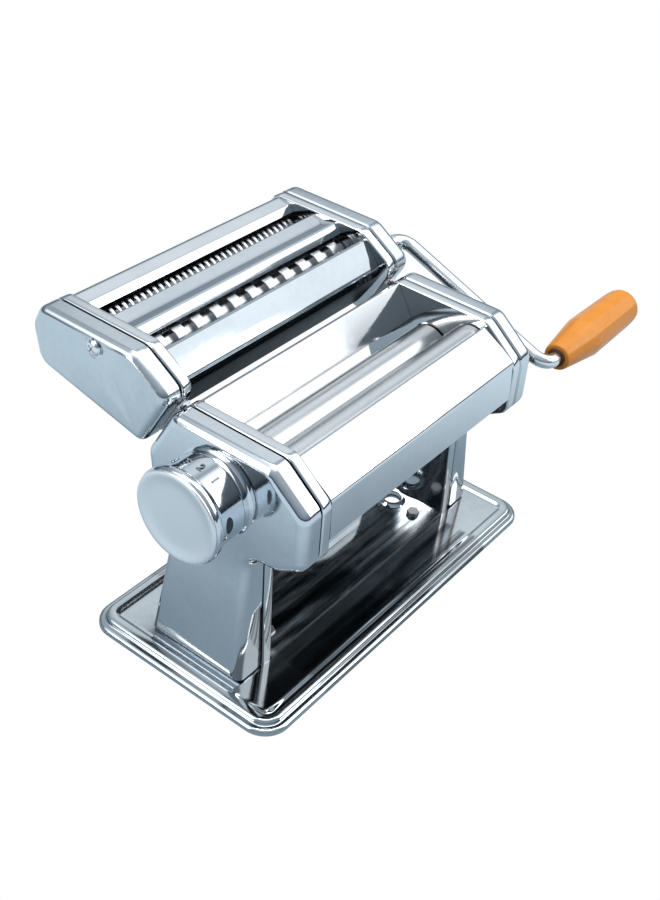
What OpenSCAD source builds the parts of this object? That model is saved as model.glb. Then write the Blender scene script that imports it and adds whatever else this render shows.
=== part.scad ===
// Hand-cranked pasta roller machine with a lift-off cutter head.
// X runs along the rolls, towards the crank. Y runs from the front to the cutter head.
// Z is up. The origin is the centre of the base, on the surface that it stands on.

/* [Rolls] */
// Length of the two smooth rolls
roll_l = 150; // [125:5:180]
// Diameter of the two smooth rolls
roll_d = 25; // [20:0.5:27]
// Wall of the roll tubes
roll_wall = 3; // [2:0.5:4]
// Gap between the rolls at the finest setting
gap_min = 0.3; // [0.2:0.05:0.6]
// Gap between the rolls at the widest setting
gap_max = 2.3; // [1.8:0.1:2.6]
// Slope of the line that joins the two roll axes, in degrees
roll_slope = 23.6; // [10:0.2:30]
// Distance of the knob's axis in front of the centre of the base
selector_front = 4; // [0:0.5:6]
// Distance of the knob's axis below the top of the body
selector_drop = 28; // [27:0.5:32]

/* [Body] */
// Height of the top of the body above the table
body_h = 139; // [120:1:170]
// Thickness of the side plates
plate_t = 2; // [1.5:0.25:2.5]
// Width of the folded rim of the side plates
rim_w = 6.5; // [5:0.5:6.5]
// Wall of the rims, the covers and the caps
skin_t = 1.2; // [0.8:0.1:1.6]
// Depth of the side covers outside the rims
cover_d = 12; // [11:0.5:14]
// How far the covers flare outwards at the foot of the legs
leg_flare = 8; // [4:0.5:12]
// Thickness of the front and the hopper sheets
sheet_t = 1; // [0.6:0.1:1.4]
// Distance from the front of the body to the centre of the base
nose_y = 55; // [50:0.5:60]
// Distance from the front edge of the legs to the centre of the base
leg_front_y = 28; // [24:0.5:32]
// Distance from the rear edge of the legs to the centre of the base, at the foot
leg_rear_y = 30; // [26:0.5:34]

/* [Base] */
// Width of the base, front to back
base_w = 120; // [110:1:150]
// Height of the rim bead above the table
base_h = 8; // [7:0.5:10]
// Length of base left free outside the foot of each cover
base_margin = 13; // [8:0.5:20]
// Radius of the corners of the base
base_r = 14; // [10:1:20]
// Thickness of the base sheet
base_t = 1.2; // [0.8:0.1:1.6]
// Gap under the rim of the base, made by the feet
foot_gap = 1.5; // [1:0.25:2.5]
// Diameter of the rubber feet
foot_d = 16; // [12:1:20]
// Diameter of the hole for the pin of a table clamp
clamp_d = 10; // [8:0.5:12]
// Diameter of the raised collar round the clamp hole
clamp_collar_d = 14; // [13:0.5:18]
// Distance of the clamp hole from the centre of the base
clamp_x = 66; // [40:1:67]

/* [Knob] */
// Diameter of the face of the knob
knob_d = 48; // [44:1:50]
// Diameter of the knob's number band
band_d = 43; // [38:1:43]
// Distance from the side cover to the face of the knob
knob_h = 26; // [24:1:32]
// Distance that the knob pulls out to clear its pin
knob_pull = 4; // [3:0.5:5]
// Diameter of the selector shaft
selector_d = 8; // [7:0.5:10]
// Number of thickness settings
settings = 9; // [7:1:9]
// Angle between the first setting and the last, in degrees
selector_range = 180; // [150:10:180]

/* [Cutter head] */
// Diameter of the cutter rolls over their rings
cutter_d = 18; // [16:0.5:18]
// Diameter of the cutter rolls between their rings
cutter_core = 12.4; // [11:0.2:12.4]
// Distance between the middles of the two cutter slots
slot_pitch = 34; // [33.5:0.5:36]
// Width of one fine ring
fine_w = 2.1; // [1.6:0.1:3]
// Width of one wide ring
wide_w = 6.6; // [5:0.1:8]
// Height of the top of the cutter head above the top of the body
head_rise = 20; // [18:0.5:26]
// Depth of the end caps of the cutter head outside their rims
cap_d = 12; // [10:0.5:14]
// Distance that the cutter head lifts along its rails
head_lift = 36; // [30:1:45]

/* [Crank] */
// Diameter of the crank rod
crank_d = 8; // [7:0.5:8.5]
// Length of the crank arm, axis to axis
crank_arm = 108; // [90:1:120]
// Fall of the crank arm towards the grip, in degrees
crank_fall = 21; // [0:1:30]
// Length of the grip
grip_l = 79; // [65:1:90]
// Largest diameter of the grip
grip_d = 24; // [20:0.5:28]
// Depth of the drive sockets
socket_l = 14; // [10:1:14]

/* [Fits] */
// Radial clearance of a shaft that turns in a bush
run_fit = 0.04; // [0.02:0.01:0.08]
// Clearance between faces that pass each other
side_gap = 0.3; // [0.2:0.05:0.5]
// Radial clearance of the crank in its socket
socket_fit = 0.1; // [0.05:0.01:0.15]

/* [Hidden] */
$fn = 64;
eps = 0.01;
arc_steps = 5;

// Stations along X, measured from the middle of the machine
plate_in = roll_l / 2 + 1;
plate_out = plate_in + plate_t;
rim_out = plate_out + rim_w - plate_t;
cover_in = rim_out + 0.4;
cover_out = cover_in + cover_d;
foot_out = cover_out + leg_flare;
base_l = 2 * (foot_out + base_margin);
gear_in = plate_out + 6;
gear_w = 6;

// Heights of the base
deck_z = base_h - 1;
deck_top = deck_z + base_t;

// Centres of the rolls and of the knob, as [y, z]
roll_dir = [-cos(roll_slope), sin(roll_slope)];
gap_travel = gap_max - gap_min;
selector_at = [-selector_front, body_h - selector_drop];
drive_at = selector_at + roll_dir * (roll_d + (gap_min + gap_max) / 2);
adjust_at = selector_at - roll_dir * gap_travel / 2;

// Journals and bushes
journal_d = 12;
bush_wall = 2;
bush_d = journal_d + 2 * bush_wall;
flange_d = bush_d + 4;
flange_t = 1.5;
block_t = 5;
block_in = plate_out + side_gap;
block_out = block_in + block_t;
cam_in = block_out + 1.5;
cam_t = 3;
cam_d = 27;
pin_d = 4;
pin_reach = 9;
bar_d = 6;
bar_drop = 12;
bar_back = 20;
rod_d = 5;
nut_t = 3;

// Outline of the body sides, as [y, z, corner radius], with the foot first
body_side = [
    [-leg_front_y, deck_z, 0.5],
    [leg_rear_y, deck_z, 0.5],
    [24, body_h - 71, 22],
    [37, body_h - 43, 12],
    [39, body_h - 27, 6],
    [24, body_h, 5],
    [-34, body_h, 7],
    [-nose_y, body_h - 17, 6],
    [-nose_y - 0.5, body_h - 47, 8],
    [-nose_y + 13, body_h - 55, 12],
    [-leg_front_y + 3, body_h - 57, 6]
];

// The cutter head slides along the sloping rear face of the body
slide_low = [39, body_h - 27];
slide_high = [24, body_h];
slide_dir = (slide_high - slide_low) / norm(slide_high - slide_low);
slide_out = [slide_dir[1], -slide_dir[0]];
head_gap = 3.5;
head_low = slide_low + slide_out * head_gap - slide_dir * 1.5;
head_high = slide_high + slide_out * head_gap + slide_dir * 4;
head_z = body_h + head_rise;

// Centres of the cutter rolls, as [y, z]
cutter_pitch = (cutter_d + cutter_core) / 2 + 0.2;
wide_mid = 54.5;
fine_mid = wide_mid + slot_pitch;
cutter_z = head_z - 17.5;
wide_at = [[wide_mid - cutter_pitch / 2, cutter_z], [wide_mid + cutter_pitch / 2, cutter_z]];
fine_at = [[fine_mid - cutter_pitch / 2, cutter_z], [fine_mid + cutter_pitch / 2, cutter_z]];
head_back = fine_mid + cutter_pitch / 2 + cutter_d / 2 + 8.8;

// Outline of the cutter head sides, as [y, z, corner radius]
head_side = [
    [head_low[0], head_low[1], 5],
    [head_back - 4, head_z - 32, 9],
    [head_back, head_z - 12, 7],
    [head_back - 6, head_z, 3],
    [wide_mid - 6, head_z, 7],
    [head_high[0], head_high[1], 7]
];

// Cutter head stations and journals
head_plate_t = 1.5;
head_plate_out = plate_in + head_plate_t;
cap_in = rim_out + 0.4;
cap_out = cap_in + cap_d;
cutter_journal_d = 8;
drive_journal_d = 10.6;
head_gear_w = 5;
head_gear_in = plate_in + 7;
head_rod_d = 4;

// Crank
crank_at = wide_at[0];
crank_dir = [-cos(crank_fall), -sin(crank_fall)];
grip_at = crank_at + crank_dir * crank_arm;
socket_out = cap_out - 0.5;
socket_in = socket_out - socket_l;
arm_x = cap_out + 20;
bend_r = 9;
grip_in = arm_x + 12;
grip_bore = crank_d + 3;
flat_depth = 1.2;
key_l = 4;
key_d = crank_d - 1.2;
tip_gap = 0.6;

// Knob
knob_seat = cover_out + 4;
knob_face = cover_out + knob_h;
web_in = knob_seat + 1.2;
web_t = 2;
stop_pin_d = 4;
stop_pin_r = 14;
pin_room = stop_pin_d / 2 + 0.15;
detent_room = 0.5;
hub_d = 16;
knob_wall = 1.5;
bush_out = knob_seat - 0.5;

// ---- Outline functions ----

function unit(v) = v / norm(v);

function wrap(list, i) = list[(i + len(list)) % len(list)];

function xy(p) = [p[0], p[1]];

// Points of one rounded corner of a closed outline
function corner(before, at, after, r) =
    let (
        to_before = unit(before - at),
        to_after = unit(after - at),
        half = acos(to_before * to_after) / 2,
        centre = at + unit(to_before + to_after) * r / sin(half),
        start = at + to_before * r / tan(half) - centre,
        finish = at + to_after * r / tan(half) - centre,
        first = atan2(start[1], start[0]),
        turn = (atan2(finish[1], finish[0]) - first + 540) % 360 - 180
    )
    [for (i = [0:arc_steps]) centre + r * [cos(first + turn * i / arc_steps),
                                          sin(first + turn * i / arc_steps)]];

// A closed outline with its corners rounded
function rounded(pts) = [
    for (i = [0:len(pts) - 1])
        each corner(xy(wrap(pts, i - 1)), xy(pts[i]), xy(wrap(pts, i + 1)), pts[i][2])
];

// A counter-clockwise outline moved inwards by d, with its radii kept in step
function inset(pts, d) = [
    for (i = [0:len(pts) - 1])
        let (
            into = unit(xy(pts[i]) - xy(wrap(pts, i - 1))),
            out = unit(xy(wrap(pts, i + 1)) - xy(pts[i])),
            n1 = [-into[1], into[0]],
            n2 = [-out[1], out[0]],
            at = xy(pts[i]) + d * (n1 + n2) / (1 + n1 * n2),
            convex = cross(into, out) > 0
        )
        [at[0], at[1], convex ? max(pts[i][2] - d, 0.3) : pts[i][2] + d]
];

// A strip of sheet of thickness t on the left of an open path
function strip(path, t) =
    let (
        last = len(path) - 1,
        side = [for (i = [0:last]) let (
            a = unit(path[min(i, last - 1) + 1] - path[min(i, last - 1)]),
            b = unit(path[max(i, 1)] - path[max(i, 1) - 1]),
            n1 = [-a[1], a[0]],
            n2 = [-b[1], b[0]]
        ) path[i] + t * (n1 + n2) / (1 + n1 * n2)]
    )
    concat(path, [for (i = [last:-1:0]) side[i]]);

// Rectangle outline with rounded corners
function slab_outline(l, w, r) = [
    [-l / 2, -w / 2, r], [l / 2, -w / 2, r], [l / 2, w / 2, r], [-l / 2, w / 2, r]
];

// ---- Building modules ----

// A prism along X with its outline in Y and Z
module along_x(x0, x1) {
    translate([x0, 0, 0]) rotate([90, 0, 90]) linear_extrude(x1 - x0) children();
}

// A round bar along X, centred on [y, z]
module rod_x(x0, x1, d, at) {
    translate([x0, at[0], at[1]]) rotate([0, 90, 0]) cylinder(h = x1 - x0, d = d);
}

// A round hole along X that passes both faces
module hole_x(x0, x1, d, at) {
    rod_x(x0 - eps, x1 + eps, d, at);
}

// A slot along X, round at both ends, for a shaft that moves along the roll line
module slot_x(x0, x1, d, at, travel) {
    for (s = [-0.5, 0.5]) hole_x(x0, x1, d, at + roll_dir * travel * s);
    translate([0, at[0], at[1]]) rotate([-roll_slope, 0, 0])
        translate([x0 - eps, -travel / 2, -d / 2]) cube([x1 - x0 + 2 * eps, travel, d]);
}

// Mirror image of a left-hand part from a right-hand one
module left() {
    mirror([1, 0, 0]) children();
}

// Spur gear along X with straight-sided teeth, turned so that a tooth or a gap meets aim
module spur(x0, w, at, teeth, tip_r, root_r, bore, aim, gap_first) {
    step = 360 / teeth;
    phase = aim + (gap_first ? step / 2 : 0);
    pts = [for (i = [0:teeth - 1]) each [
        root_r * [cos(phase + (i - 0.27) * step), sin(phase + (i - 0.27) * step)],
        tip_r * [cos(phase + (i - 0.1) * step), sin(phase + (i - 0.1) * step)],
        tip_r * [cos(phase + (i + 0.1) * step), sin(phase + (i + 0.1) * step)],
        root_r * [cos(phase + (i + 0.27) * step), sin(phase + (i + 0.27) * step)]
    ]];
    difference() {
        translate([0, at[0], at[1]]) along_x(x0, x0 + w) polygon(pts);
        hole_x(x0, x0 + w, bore, at);
    }
}

// ---- Base ----

module base_plate() {
    lip_in = 3.5;
    step_in = 7;
    bead_in = 11;
    lip_z = base_h - 3;
    step_z = base_h - 1.5;
    color("silver") difference() {
        union() {
            translate([0, 0, foot_gap]) linear_extrude(lip_z - foot_gap)
                polygon(rounded(slab_outline(base_l, base_w, base_r)));
            linear_extrude_from(lip_z - eps, step_z)
                polygon(rounded(inset(slab_outline(base_l, base_w, base_r), lip_in)));
            linear_extrude_from(step_z - eps, base_h)
                polygon(rounded(inset(slab_outline(base_l, base_w, base_r), step_in)));
        }
        linear_extrude_from(deck_z, base_h + eps)
            polygon(rounded(inset(slab_outline(base_l, base_w, base_r), bead_in)));
        linear_extrude_from(foot_gap - eps, lip_z - base_t)
            polygon(rounded(inset(slab_outline(base_l, base_w, base_r), base_t)));
        linear_extrude_from(lip_z - base_t - eps, deck_z - base_t)
            polygon(rounded(inset(slab_outline(base_l, base_w, base_r), step_in + base_t)));
        translate([clamp_x, 0, 0]) cylinder(h = base_h * 2, d = clamp_d);
        for (at = base_screw_at) translate([at[0], at[1], 0]) cylinder(h = base_h, d = 4);
    }
}

module linear_extrude_from(z0, z1) {
    translate([0, 0, z0]) linear_extrude(z1 - z0) children();
}

base_screw_at = [for (x = [-1, 1], y = [-1, 1]) [x * (plate_in - 12), y * 16]];

module base_feet() {
    inset_xy = 20;
    color("dimgray") for (x = [-1, 1], y = [-1, 1])
        translate([x * (base_l / 2 - inset_xy), y * (base_w / 2 - inset_xy), 0])
            cylinder(h = deck_z - base_t, d = foot_d);
}

module bottom_plate() {
    collar_h = 2;
    color("silver") difference() {
        union() {
            translate([-plate_in, -leg_front_y, deck_z])
                cube([2 * plate_in, leg_front_y + leg_rear_y, base_t]);
            translate([clamp_x, 0, deck_z]) cylinder(h = base_t + collar_h, d = clamp_collar_d);
        }
        translate([clamp_x, 0, 0]) cylinder(h = base_h * 2, d = clamp_d);
        for (at = base_screw_at) translate([at[0], at[1], 0]) cylinder(h = base_h * 2, d = 4);
    }
}

module base_screws() {
    head_t = 2;
    color("gray") for (at = base_screw_at) {
        translate([at[0], at[1], deck_z - base_t]) cylinder(h = 2 * base_t, d = 4);
        translate([at[0], at[1], deck_z - base_t - head_t]) cylinder(h = head_t, d = 7);
        translate([at[0], at[1], deck_top]) cylinder(h = head_t, d = 7, $fn = 6);
    }
}

// ---- Side frames and covers ----

tie_at = [[-nose_y + 9, body_h - 43], [13, body_h - 62], [30, body_h - 36]];
bar_at = selector_at + [bar_back, -bar_drop];

module side_frame(adjust_slot) {
    difference() {
        union() {
            along_x(plate_in, plate_out) polygon(rounded(body_side));
            difference() {
                along_x(plate_out - eps, rim_out) polygon(rounded(body_side));
                along_x(plate_out - 2 * eps, rim_out + eps)
                    polygon(rounded(inset(body_side, skin_t)));
            }
        }
        hole_x(plate_in, plate_out, bush_d, drive_at);
        slot_x(plate_in, plate_out, adjust_slot, selector_at, gap_travel);
        slot_x(plate_in, plate_out, bar_d + 1, bar_at, gap_travel);
        for (at = tie_at) hole_x(plate_in, plate_out, rod_d, at);
    }
}

module side_frame_left() {
    color("silver") left() side_frame(journal_d + 1);
}

module side_frame_right() {
    color("silver") side_frame(journal_d + 1);
}

// Solid form of a side cover that is smaller by d on every outer face
module cover_form(d) {
    flare_z = body_h - 60;
    side = inset(body_side, d);
    along_x(cover_in - (d > 0 ? eps : 0), cover_out - d) polygon(rounded(side));
    intersection() {
        along_x(cover_in - (d > 0 ? eps : 0), foot_out) polygon(rounded(side));
        translate([0, base_w / 2, 0]) rotate([90, 0, 0]) linear_extrude(base_w)
            polygon([[cover_in - (d > 0 ? eps : 0), flare_z], [cover_out - d, flare_z],
                     [foot_out - d, deck_z], [cover_in - (d > 0 ? eps : 0), deck_z]]);
    }
}

module cover() {
    floor_gap = 0.5;
    difference() {
        cover_form(0);
        cover_form(skin_t);
        translate([0, -base_w / 2, 0]) cube([foot_out + 1, base_w, deck_z + floor_gap]);
    }
}

module cover_left() {
    color("silver") difference() {
        left() cover();
        left() hole_x(cover_out - skin_t, cover_out, selector_bush_d, selector_at);
    }
}

module cover_right() {
    color("silver") difference() {
        cover();
        hole_x(cover_out - skin_t, cover_out, journal_d + 2, drive_at);
    }
}

module front_panel() {
    hem = 2.2;
    path = [
        [-nose_y - 0.2, body_h - 38], [-nose_y + 1, body_h - 16],
        [-34.2, body_h - 2.6], [-34.2 + hem, body_h - 2.6 - hem]
    ];
    color("whitesmoke") along_x(-plate_in, plate_in) polygon(strip(path, -sheet_t));
}

module rear_panel() {
    lip_gap = 2.4;
    low = adjust_at + (roll_d / 2 + lip_gap) * [cos(38), sin(38)];
    path = [
        low, [20.5, body_h - 0.3], [22.5, body_h - 0.6], slide_low + [-2.2, 1]
    ];
    color("whitesmoke") along_x(-plate_in, plate_in) polygon(strip(path, -sheet_t));
}

module tie_rods() {
    color("gray") for (at = tie_at) rod_x(-plate_out - nut_t, plate_out + nut_t, rod_d, at);
}

module tie_rod_nuts() {
    color("dimgray") for (at = tie_at, side = [0, 1]) mirror([side, 0, 0]) difference() {
        translate([plate_out, at[0], at[1]]) rotate([0, 90, 0])
            cylinder(h = nut_t, d = rod_d * 1.8, $fn = 6);
        hole_x(plate_out, plate_out + nut_t, rod_d, at);
    }
}

// Thin blade that lies just under a roll, from the roll to a tie rod side
module scraper(roll_at, angle, length) {
    tip = roll_at + (roll_d / 2 + side_gap) * [cos(angle), sin(angle)];
    path = [tip, tip + length * [cos(angle + 28), sin(angle + 28)]];
    along_x(-plate_in, plate_in) polygon(strip(path, -sheet_t));
}

module scraper_front() {
    color("gray") scraper(drive_at, -115, 13);
}

module scraper_rear() {
    color("gray") scraper(adjust_at, -65, 12);
}

module bush(x0, length, bore, od, flange, at) {
    difference() {
        union() {
            rod_x(x0, x0 + length, od, at);
            rod_x(x0 + plate_t, x0 + plate_t + flange_t, flange, at);
        }
        hole_x(x0, x0 + length, bore, at);
    }
}

module roll_bushes() {
    color("white") for (side = [0, 1]) mirror([side, 0, 0])
        bush(plate_in, plate_t + flange_t, journal_d + 2 * run_fit, bush_d, flange_d, drive_at);
}

selector_bush_d = selector_d + 2 * bush_wall;

module selector_bush() {
    inner_t = 2;
    color("white") left() difference() {
        union() {
            rod_x(cover_out - skin_t - inner_t, bush_out, selector_bush_d, selector_at);
            rod_x(cover_out - skin_t - inner_t, cover_out - skin_t, selector_bush_d + 4,
                  selector_at);
        }
        hole_x(cover_out - skin_t - inner_t, bush_out, selector_d + 2 * run_fit, selector_at);
    }
}

// ---- Knob and selector ----

module knob_collar() {
    pin_out = web_in + web_t - 0.4;
    color("silver") left() {
        difference() {
            rod_x(cover_out, knob_seat, band_d - 1, selector_at);
            hole_x(cover_out, knob_seat, selector_bush_d, selector_at);
        }
        rod_x(knob_seat - eps, pin_out, stop_pin_d, selector_at + stop_pin_r * roll_dir);
    }
}

module selector_shaft() {
    color("gray") left() difference() {
        rod_x(cam_in, selector_end, selector_d, selector_at);
        translate([knob_seat + 1, selector_at[0] - selector_d, selector_at[1] + selector_d / 2
                   - flat_depth]) cube([selector_end, 2 * selector_d, selector_d]);
    }
}

// Radius of the cam's groove at a turn of the knob
function groove_r(turn) = pin_reach - gap_travel / 2 + gap_travel * turn / selector_range;

module selector_cam() {
    half = pin_d / 2 + 0.15;
    aim = atan2(roll_dir[1], roll_dir[0]);
    over = 1.2 * asin(half / groove_r(0));
    steps = 36;
    turns = [for (i = [0:steps]) -over + (selector_range + 2 * over) * i / steps];
    inner = [for (t = turns) (groove_r(t) - half) * [cos(aim - t), sin(aim - t)]];
    outer = [for (i = [steps:-1:0]) let (t = turns[i])
        (groove_r(t) + half) * [cos(aim - t), sin(aim - t)]];
    color("gray") left() difference() {
        rod_x(cam_in, cam_in + cam_t, cam_d, selector_at);
        translate([0, selector_at[0], selector_at[1]])
            along_x(cam_in - eps, cam_in + cam_t + eps) polygon(concat(inner, outer));
        hole_x(cam_in, cam_in + cam_t, selector_d, selector_at);
    }
}

// Closed coil swept along a helix on X
module coil(x0, x1, mean_r, wire_d, turns, at) {
    sides = 6;
    rings = turns * 12;
    centre = function (i) let (a = 360 * turns * i / rings)
        [x0 + (x1 - x0) * i / rings, at[0] + mean_r * cos(a), at[1] + mean_r * sin(a)];
    pts = [for (i = [0:rings]) let (a = 360 * turns * i / rings, c = centre(i))
        for (j = [0:sides - 1]) let (b = 360 * j / sides)
            c + wire_d / 2 * [sin(b), cos(b) * cos(a), cos(b) * sin(a)]];
    walls = [for (i = [0:rings - 1], j = [0:sides - 1]) let (k = (j + 1) % sides)
        [i * sides + j, i * sides + k, (i + 1) * sides + k, (i + 1) * sides + j]];
    polyhedron(pts, concat(walls, [[for (j = [sides - 1:-1:0]) j]],
                           [[for (j = [0:sides - 1]) rings * sides + j]]));
}

selector_end = knob_face - 6;
spring_wire = 1;
spring_in = web_in + web_t + spring_wire / 2 + 0.1;
spring_out = selector_end - spring_wire / 2 - 0.1;

module knob_spring() {
    color("gray") left() coil(spring_in, spring_out, selector_d / 2 + 1.6, spring_wire, 4, selector_at);
}

module knob_screw() {
    washer_t = 1;
    color("gray") left() {
        rod_x(selector_end, selector_end + washer_t, selector_d + 5, selector_at);
        rod_x(selector_end + washer_t - eps, selector_end + 2.6, selector_d - 1, selector_at);
    }
}

module knob_shell() {
    skirt_in = knob_seat + side_gap;
    color("silver") left() difference() {
        union() {
            rod_x(skirt_in, knob_face - 5, band_d, selector_at);
            rod_x(knob_face - 5 - eps, knob_face - 1.5, knob_d, selector_at);
        }
        hole_x(web_in + web_t, knob_face, band_d - 2 * knob_wall, selector_at);
        hole_x(skirt_in, web_in, band_d - 2 * knob_wall, selector_at);
        difference() {
            hole_x(web_in, web_in + web_t, selector_d + 2 * run_fit, selector_at);
            translate([web_in - 1, selector_at[0] - selector_d,
                       selector_at[1] + selector_d / 2 - flat_depth + run_fit])
                cube([web_t + 2, 2 * selector_d, selector_d]);
        }
        translate([0, selector_at[0], selector_at[1]])
            along_x(web_in - eps, web_in + web_t + eps) polygon(arc_band(stop_pin_r, pin_room));
        for (i = [0:settings - 1])
            hole_x(web_in, web_in + web_t, stop_pin_d + 2 * detent_room, selector_at
                   + stop_pin_r * turned(roll_dir, -selector_range * i / (settings - 1)));
    }
}

// Band of radius r about the knob's axis, over the range that the knob turns
function arc_band(r, half) = let (aim = atan2(roll_dir[1], roll_dir[0]), step = 6) concat(
    [for (t = [0:step:selector_range]) (r - half) * [cos(aim - t), sin(aim - t)]],
    [for (t = [selector_range:-step:0]) (r + half) * [cos(aim - t), sin(aim - t)]]
);

function turned(v, a) = [v[0] * cos(a) - v[1] * sin(a), v[0] * sin(a) + v[1] * cos(a)];

module knob_cap() {
    color("silver") left() {
        rod_x(knob_face - 1.5, knob_face, knob_d - 2, selector_at);
        rod_x(knob_face - 2.5, knob_face - 1.5 + eps, band_d - 2 * knob_wall, selector_at);
    }
}

// ---- Sliding carriage of the adjustable roll ----

module bearing_block(has_pin) {
    block_d = journal_d + 8;
    bar_moved = bar_at - roll_dir * gap_travel / 2;
    pin_at = adjust_at + roll_dir * pin_reach;
    difference() {
        union() {
            rod_x(block_in, block_out, block_d, adjust_at);
            along_x(block_in, block_out) polygon(link(adjust_at, bar_moved, bar_d + 6));
            rod_x(block_in, block_out, bar_d + 6, bar_moved);
            if (has_pin) {
                along_x(block_in, block_out) polygon(link(adjust_at, pin_at, pin_d + 4));
                rod_x(block_in, block_out, pin_d + 4, pin_at);
                rod_x(block_out - eps, cam_in + cam_t, pin_d, pin_at);
            }
        }
        hole_x(block_in, block_out, journal_d + 2 * run_fit, adjust_at);
        hole_x(block_in, block_out, bar_d, bar_moved);
    }
}

// Straight link of width w between two points
function link(a, b, w) = let (n = unit([b[1] - a[1], a[0] - b[0]]) * w / 2)
    [a + n, a - n, b - n, b + n];

module bearing_block_left() {
    color("goldenrod") left() bearing_block(true);
}

module bearing_block_right() {
    color("goldenrod") bearing_block(false);
}

module carriage_bar() {
    color("gray") rod_x(-block_out, block_out, bar_d, bar_at - roll_dir * gap_travel / 2);
}

// ---- Smooth rolls ----

module roll_tube(at) {
    difference() {
        rod_x(-roll_l / 2, roll_l / 2, roll_d, at);
        hole_x(-roll_l / 2, roll_l / 2, roll_d - 2 * roll_wall, at);
    }
}

module journal(x_out, at) {
    plug_l = 12;
    rod_x(roll_l / 2 - plug_l, roll_l / 2, roll_d - 2 * roll_wall, at);
    rod_x(roll_l / 2 - eps, x_out, journal_d, at);
}

module drive_roll() {
    color("silver") roll_tube(drive_at);
}

// Round socket with one flat along its inner end, open at its outer end
module socket(x0, x1, at) {
    key_bore = key_d + 2 * socket_fit;
    hole_x(x0 + key_l, x1, crank_d + 2 * socket_fit, at);
    difference() {
        hole_x(x0, x0 + key_l + 1, key_bore, at);
        translate([x0 - 1, at[0] - key_bore, at[1] + key_d / 2 - flat_depth + socket_fit])
            cube([key_l + 1, 2 * key_bore, key_bore]);
    }
}

module drive_journals() {
    color("gray") {
        difference() {
            journal(cover_out - 0.6, drive_at);
            socket(cover_out - 0.6 - socket_l, cover_out - 0.6, drive_at);
        }
        left() journal(plate_out + flange_t + 2, drive_at);
    }
}

roll_teeth = 12;
roll_tip_r = (roll_d + gap_min) / 2 + 2.3;
roll_root_r = roll_d + gap_min - roll_tip_r - 0.4;
roll_aim = atan2(roll_dir[1], roll_dir[0]);

module drive_gear() {
    color("goldenrod")
        spur(gear_in, gear_w, drive_at, roll_teeth, roll_tip_r, roll_root_r, journal_d,
             roll_aim + 180, false);
}

module adjust_roll() {
    color("silver") roll_tube(adjust_at);
}

module adjust_journals() {
    color("gray") {
        journal(gear_in + gear_w, adjust_at);
        left() journal(block_out, adjust_at);
    }
}

module adjust_gear() {
    color("goldenrod")
        spur(gear_in, gear_w, adjust_at, roll_teeth, roll_tip_r, roll_root_r, journal_d,
             roll_aim, true);
}

// ---- Cutter head ----

head_tie_at = [
    [head_back - 9, head_z - 9], [wide_mid - 5.7, head_z - 40.5],
    [head_back - 8, head_z - 27]
];
cutters_at = concat(wide_at, fine_at);
head_bush_t = 1.2;
head_journal_d = [drive_journal_d, cutter_journal_d, drive_journal_d, cutter_journal_d];
head_bush_d = [for (d = head_journal_d) d + 2 * head_bush_t];

module head_plate() {
    difference() {
        union() {
            along_x(plate_in, head_plate_out) polygon(rounded(head_side));
            difference() {
                along_x(head_plate_out - eps, rim_out) polygon(rounded(head_side));
                along_x(head_plate_out - 2 * eps, rim_out + eps)
                    polygon(rounded(inset(head_side, skin_t)));
            }
        }
        for (i = [0:3]) hole_x(plate_in, head_plate_out, head_bush_d[i], cutters_at[i]);
        for (at = head_tie_at) hole_x(plate_in, head_plate_out, head_rod_d, at);
    }
}

module head_plate_left() {
    color("silver") left() head_plate();
}

module head_plate_right() {
    color("silver") head_plate();
}

cap_screw_at = [(wide_mid + fine_mid) / 2, head_z - 6.7];

module head_cap() {
    difference() {
        along_x(cap_in, cap_out) polygon(rounded(head_side));
        along_x(cap_in - eps, cap_out - skin_t) polygon(rounded(inset(head_side, skin_t)));
        hole_x(cap_out - skin_t, cap_out, 4.2, cap_screw_at);
    }
}

module head_cap_left() {
    color("silver") left() head_cap();
}

module head_cap_right() {
    color("silver") difference() {
        head_cap();
        hole_x(cap_out - skin_t, cap_out, drive_journal_d + 2, wide_at[0]);
        hole_x(cap_out - skin_t, cap_out, drive_journal_d + 2, fine_at[0]);
    }
}

module head_cap_screws() {
    head_t = 1.6;
    color("gray") for (side = [0, 1]) mirror([side, 0, 0]) difference() {
        union() {
            rod_x(head_plate_out, cap_out + eps, 4.2, cap_screw_at);
            rod_x(cap_out, cap_out + head_t, 8, cap_screw_at);
        }
        for (turn = [0, 90]) translate([cap_out + 0.5, cap_screw_at[0], cap_screw_at[1]])
            rotate([turn, 0, 0]) translate([0, -2.2, -0.4]) cube([head_t, 4.4, 0.8]);
    }
}

module head_rear_panel() {
    path = [
        [head_back - 2.2, head_z - 30], [head_back - 1.6, head_z - 12.5],
        [head_back - 6.6, head_z - 0.6], [fine_mid + 8, head_z - 2.6],
        [fine_mid + 5.5, head_z - 6]
    ];
    color("whitesmoke") along_x(-plate_in, plate_in) polygon(strip(path, sheet_t));
}

module head_divider() {
    mid = (wide_mid + fine_mid) / 2;
    path = [
        [wide_mid + 6.5, head_z - 6.5], [wide_mid + 8, head_z - 3.5], [wide_mid + 11, head_z - 2],
        [mid + 1, head_z - 3.2], [fine_mid - 8, head_z - 2], [fine_mid - 6.3, head_z - 6]
    ];
    color("lightsteelblue") along_x(-plate_in, plate_in) polygon(strip(path, -sheet_t));
}

module head_front_panel() {
    nose = wide_at[0] - [cutter_d / 2 + 3.2, 0];
    path = [
        nose + [10.9, -24], nose + [0, -4.5], nose + [0, 1.1], nose + [3.4, 5.5],
        [wide_mid - 9.7, head_z - 4.8], [wide_mid - 7.9, head_z - 4.4],
        [wide_mid - 6.1, head_z - 7.5]
    ];
    color("lightsteelblue") along_x(-plate_in, plate_in) polygon(strip(path, -sheet_t));
}

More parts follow.
